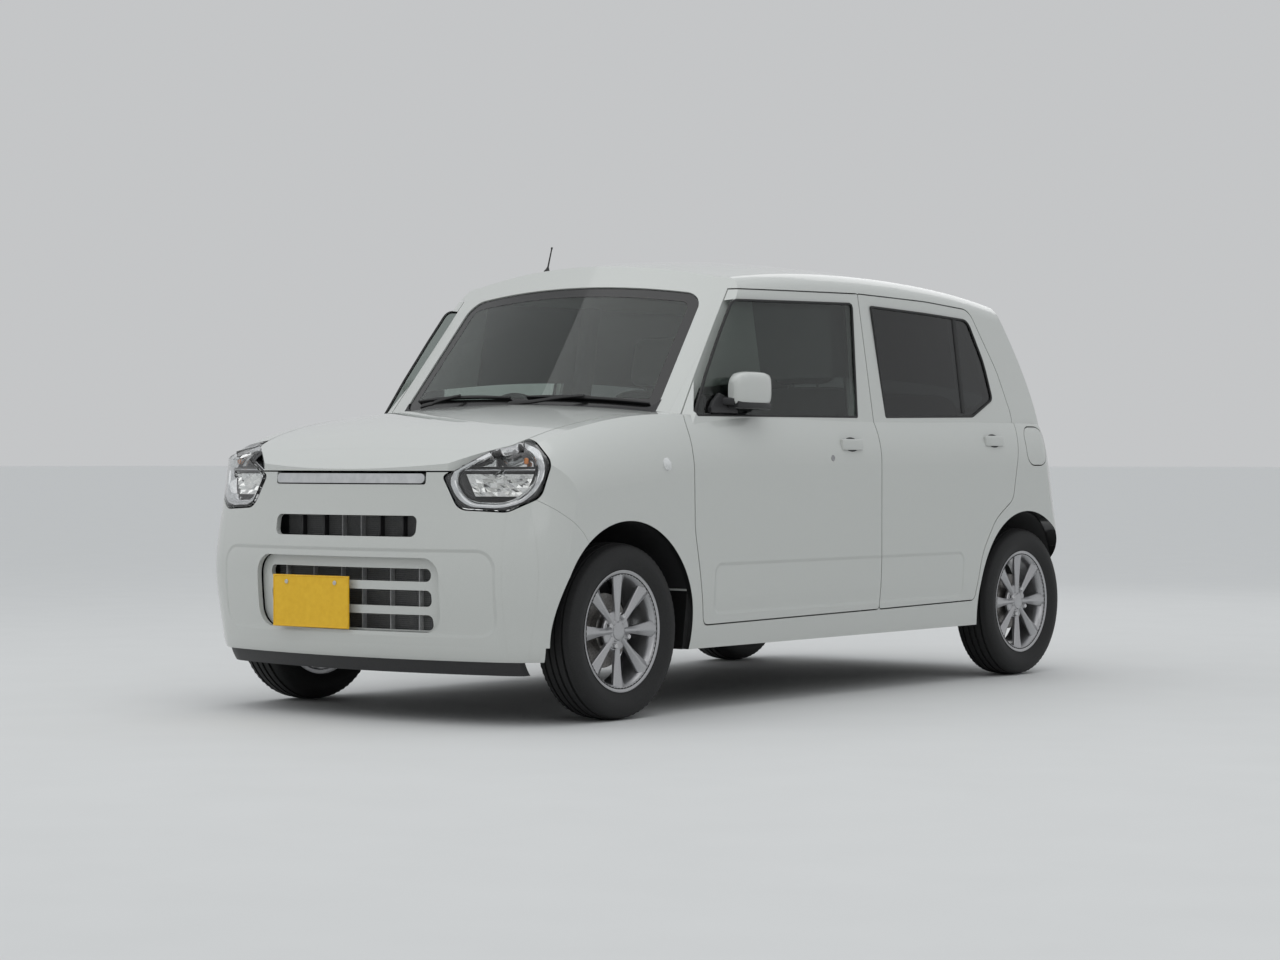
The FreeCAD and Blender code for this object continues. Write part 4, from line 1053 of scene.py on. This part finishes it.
# z, middle x and half thickness
pillar_rows = ((262, 632, 19), (900, 632, 19), (1060, 618, 20), (1230, 591, 20), (1388, 566, 18))
pillar_y, pillar_half = 1445, 0.044
for word, side in sides:
    post_rings = [
        rounded_ring(at(side * x, pillar_y, z), sideways, backwards, half / 1000, pillar_half, 4.0, 32)
        for z, x, half in pillar_rows
    ]
    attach(lofted("centre_pillar_" + word, post_rings, pillar_trim), "body")


# Wipers
# Two black steel arms on the cowl's spindles, each pressing a hinged blade with a rubber lip to the glass.
# A short third one wipes the tailgate's window.

def wiper_bar(name, line, normal, sizes, body):
    """A flat bar along a line of points, given its width and thickness at each point in millimetres."""
    rings = []
    for i, here in enumerate(line):
        along = (line[min(i + 1, len(line) - 1)] - line[max(i - 1, 0)]).normalized()
        across = normal.cross(along).normalized()
        width, thickness = sizes[i]
        rings.append(rounded_ring(here, across, normal, width / 2000, thickness / 2000, 4.0, 16))
    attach(lofted(name, rings, rubber), body)


# number, the blade's two ends and the arm's pivot, each as x and distance up the glass
for number, start, end, pivot in ((1, (525, 66), (50, 50), (0, -20)), (2, (-20, 46), (-490, 84), (-470, 10))):
    points = [Vector(start).lerp(Vector(end), k / 12) for k in range(13)]
    lip_line = [on_windshield(q.x, q.y, 0.004) for q in points]
    wiper_bar(f"wiper_{number}_rubber", lip_line, glass_out, [(4, 7)] * 13, "body")
    spine_line = [on_windshield(q.x, q.y, 0.011) for q in points]
    spine_sizes = [(6 + 6 * math.sin(math.pi * k / 12), 6) for k in range(13)]
    wiper_bar(f"wiper_{number}_spine", spine_line, glass_out, spine_sizes, "body")
    reach = Vector(start).lerp(Vector(end), 0.5)
    arm_line = []
    for k in range(9):
        x, up = Vector(pivot).lerp(reach, k / 8)
        arm_line.append(on_windshield(x, up, 0.020 + 0.010 * math.sin(math.pi * k / 8)))
    arm_sizes = [(18 - 1.1 * k, 9 - 0.4 * k) for k in range(9)]
    wiper_bar(f"wiper_{number}_arm", arm_line, glass_out, arm_sizes, "body")


tail_glass = target("tailgate_glass")
glass_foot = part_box("tailgate_glass")[0].z * 1000


def on_tail_glass(x, up):
    """The point of the tailgate's glass at x and up millimetres above its lower edge."""
    return from_behind(tail_glass, x, glass_foot + up)


tail_up = (on_tail_glass(0, 120) - on_tail_glass(0, 40)).normalized()
tail_out = Vector((0, tail_up.z, -tail_up.y))
for part, start, end, lift, width, thickness in (
    ("rubber", (30, 52), (-300, 78), 0.004, 4, 7),
    ("spine", (30, 52), (-300, 78), 0.010, 9, 6),
    ("arm", (0, 16), (-140, 66), 0.018, 13, 8),
):
    line = []
    for k in range(9):
        x, up = Vector(start).lerp(Vector(end), k / 8)
        line.append(on_tail_glass(x, up) + tail_out * lift)
    wiper_bar("tail_wiper_" + part, line, tail_out, [(width, thickness)] * 9, "tailgate")


# Cabin
# A moulded grey dashboard with a soft grain, hung from a steel beam across the front wall.
# The steering wheel is foamed plastic over a steel ring.

dash_grain = grained("dash_grain", (0.035, 0.035, 0.037), (0.060, 0.060, 0.062), 480.0, 0.6, relief=0.5)
finish(dash_grain, "dashboard", "steering_wheel")


# Seats
# Moulded foam pads in woven grey cloth with sewn channels and a welt, on steel frames with plastic covers.
# Two front seats with headrests on posts, and one rear bench across the cabin.

seat_cloth = grained("seat_cloth", (0.10, 0.10, 0.105), (0.20, 0.195, 0.19), 900.0, 0.92, relief=0.8)
cloth = seat_cloth.node_tree
cloth_place = cloth.nodes["Texture Coordinate"].outputs["Object"]
cloth_normal = cloth.nodes["Bump"].outputs["Normal"]
for direction in ("X", "Z"):
    thread = added(cloth, "TexWave", {"Scale": 260.0, "Distortion": 0.6, "Vector": cloth_place})
    thread.bands_direction = direction
    weave = {"Strength": 0.5, "Distance": 0.0006, "Height": thread.outputs["Fac"], "Normal": cloth_normal}
    cloth_normal = added(cloth, "Bump", weave).outputs["Normal"]
fed(cloth, cloth.nodes["Principled BSDF"], {"Sheen Weight": 0.35, "Normal": cloth_normal})
welt_cloth = grained("welt_cloth", (0.03, 0.03, 0.032), (0.06, 0.06, 0.06), 600.0, 0.8, relief=0.5)
seat_trim = grained("seat_trim", (0.020, 0.020, 0.021), (0.034, 0.034, 0.035), 380.0, 0.55, relief=0.3)


def pad(name, centre, across, along, size, channels):
    """A crowned foam pad of a width, length and thickness, with sewn lines as (axis, place, width)."""
    outward = across.cross(along).normalized()
    width, length, thick = size
    steps = 34
    points, faces, number = [], [], {}
    for face in (1, -1):
        for i in range(steps + 1):
            for j in range(steps + 1):
                border = i in (0, steps) or j in (0, steps)
                if border and face < 0:
                    number[face, i, j] = number[1, i, j]
                    continue
                u = math.sin(math.pi * (i / steps - 0.5))
                v = math.sin(math.pi * (j / steps - 0.5))
                span = max(abs(u), abs(v))
                shrink = span / ((abs(u) ** 7 + abs(v) ** 7) ** (1 / 7)) if span > 0 else 1.0
                side = (1 - abs(u) ** 6) ** 0.4 * (1 - abs(v) ** 6) ** 0.4
                depth = side * (0.43 + 0.07 * (1 - u * u) * (1 - v * v)) * thick
                if face > 0:
                    for axis, place, wide in channels:
                        gap = (u if axis == "u" else v) - place
                        depth -= 0.009 * math.exp(-((gap / wide) ** 2)) * side
                    depth += 0.016 * side * (u * u if name.startswith("front") else 0.0)
                pull = 1 - 0.012 * (1 - v * v)
                number[face, i, j] = len(points)
                spot = centre + across * (u * shrink * pull * width / 2)
                points.append(spot + along * (v * shrink * length / 2) + outward * depth * face)
    for face in (1, -1):
        for i in range(steps):
            for j in range(steps):
                loop = [number[face, i + a, j + b] for a, b in ((0, 0), (1, 0), (1, 1), (0, 1))]
                faces.append(loop if face > 0 else loop[::-1])
    piece = shaped(name, points, faces, seat_cloth, crease=80)
    smoother = piece.modifiers.new("crown", "SUBSURF")
    smoother.levels = smoother.render_levels = 1
    edge = [number[1, i, 0] for i in range(steps)]
    edge += [number[1, steps, j] for j in range(steps)]
    edge += [number[1, i, steps] for i in range(steps, 0, -1)]
    edge += [number[1, 0, j] for j in range(steps, 0, -1)]
    welt = tube(name + "_welt", [points[k] for k in edge], 0.0035, welt_cloth)
    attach(piece, "body")
    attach(welt, "body")
    return piece


cushion_run = Vector((0, 1, -0.045)).normalized()
back_run = Vector((0, 0.222, 0.975)).normalized()
ribs_across = [("v", place, 0.05) for place in (-0.5, -0.15, 0.2)]
bolsters = [("u", -0.62, 0.05), ("u", 0.62, 0.05)]
front_sewn = ribs_across + bolsters
cushion_size, back_size, headrest_size = (0.47, 0.50, 0.125), (0.455, 0.60, 0.125), (0.25, 0.185, 0.09)
seat_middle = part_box("front_seats")[1].x * 1000 - 240
# plastic covers of a front seat: x from its middle, y and z, each from low to high
cover_rows = (
    (-238, -212, 890, 1392, 300, 452), (212, 238, 890, 1392, 300, 452), (-205, 205, 900, 918, 330, 440),
    (-205, 205, 1370, 1392, 330, 440), (-236, -214, 1380, 1440, 440, 560), (214, 236, 1380, 1440, 440, 560),
)
for word, side in sides:
    x = side * seat_middle
    spot = at(x, 1130, 493)
    cushion = pad("front_cushion_" + word, spot, sideways, cushion_run, cushion_size, front_sewn)
    if word == "left":
        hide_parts("front_seats")
    pad("front_back_" + word, at(x, 1487, 782), -sideways, back_run, back_size, front_sewn)
    pad("front_headrest_" + word, at(x, 1568, 1182), -sideways, back_run, headrest_size, [])
    for k, dx in enumerate((-62, 62)):
        line = [at(x + dx, 1543, 1056), at(x + dx, 1561, 1130)]
        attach(tube(f"front_post_{word}_{k}", line, 0.006, nut_steel, closed=False), "body")
    cover_boxes = [
        (at(x + low_x, low_y, low_z), at(x + high_x, high_y, high_z))
        for low_x, high_x, low_y, high_y, low_z, high_z in cover_rows
    ]
    cover = bars("front_seat_cover_" + word, cover_boxes, seat_trim, edge=0.006)
    shell_box = (at(x - 205, 0, -290), at(x + 205, 12, 290))
    shell = bars("front_back_shell_" + word, [shell_box], seat_trim, edge=0.005)
    lean = Matrix.Rotation(math.atan2(-back_run.y, back_run.z), 4, "X")
    shell.data.transform(Matrix.Translation(at(0, 1556, 780)) @ lean @ Matrix.Translation(-at(0, 0, 0)))
    for piece in (cover, shell):
        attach(piece, "body")

rear_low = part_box("rear_seat")[0]
bench_y = rear_low.y * 1000 + front_axle
bench_ribs = [("v", place, 0.06) for place in (-0.45, 0.0, 0.45)] + [("u", 0.0, 0.015)]
bench_run = Vector((0, 1, -0.04)).normalized()
bench_size, bench_back_size = (0.87, 0.385, 0.10), (0.87, 0.585, 0.085)
bench = pad("rear_cushion", at(0, bench_y + 195, 512), sideways, bench_run, bench_size, bench_ribs)
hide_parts("rear_seat")
pad("rear_back", at(0, bench_y + 482, 782), -sideways, back_run, bench_back_size, bench_ribs)
bench_base = bars(
    "rear_seat_base",
    [(at(-425, bench_y + 12, rear_low.z * 1000 + 1), at(425, bench_y + 380, 458))],
    seat_trim, edge=0.008,
)
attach(bench_base, "body")
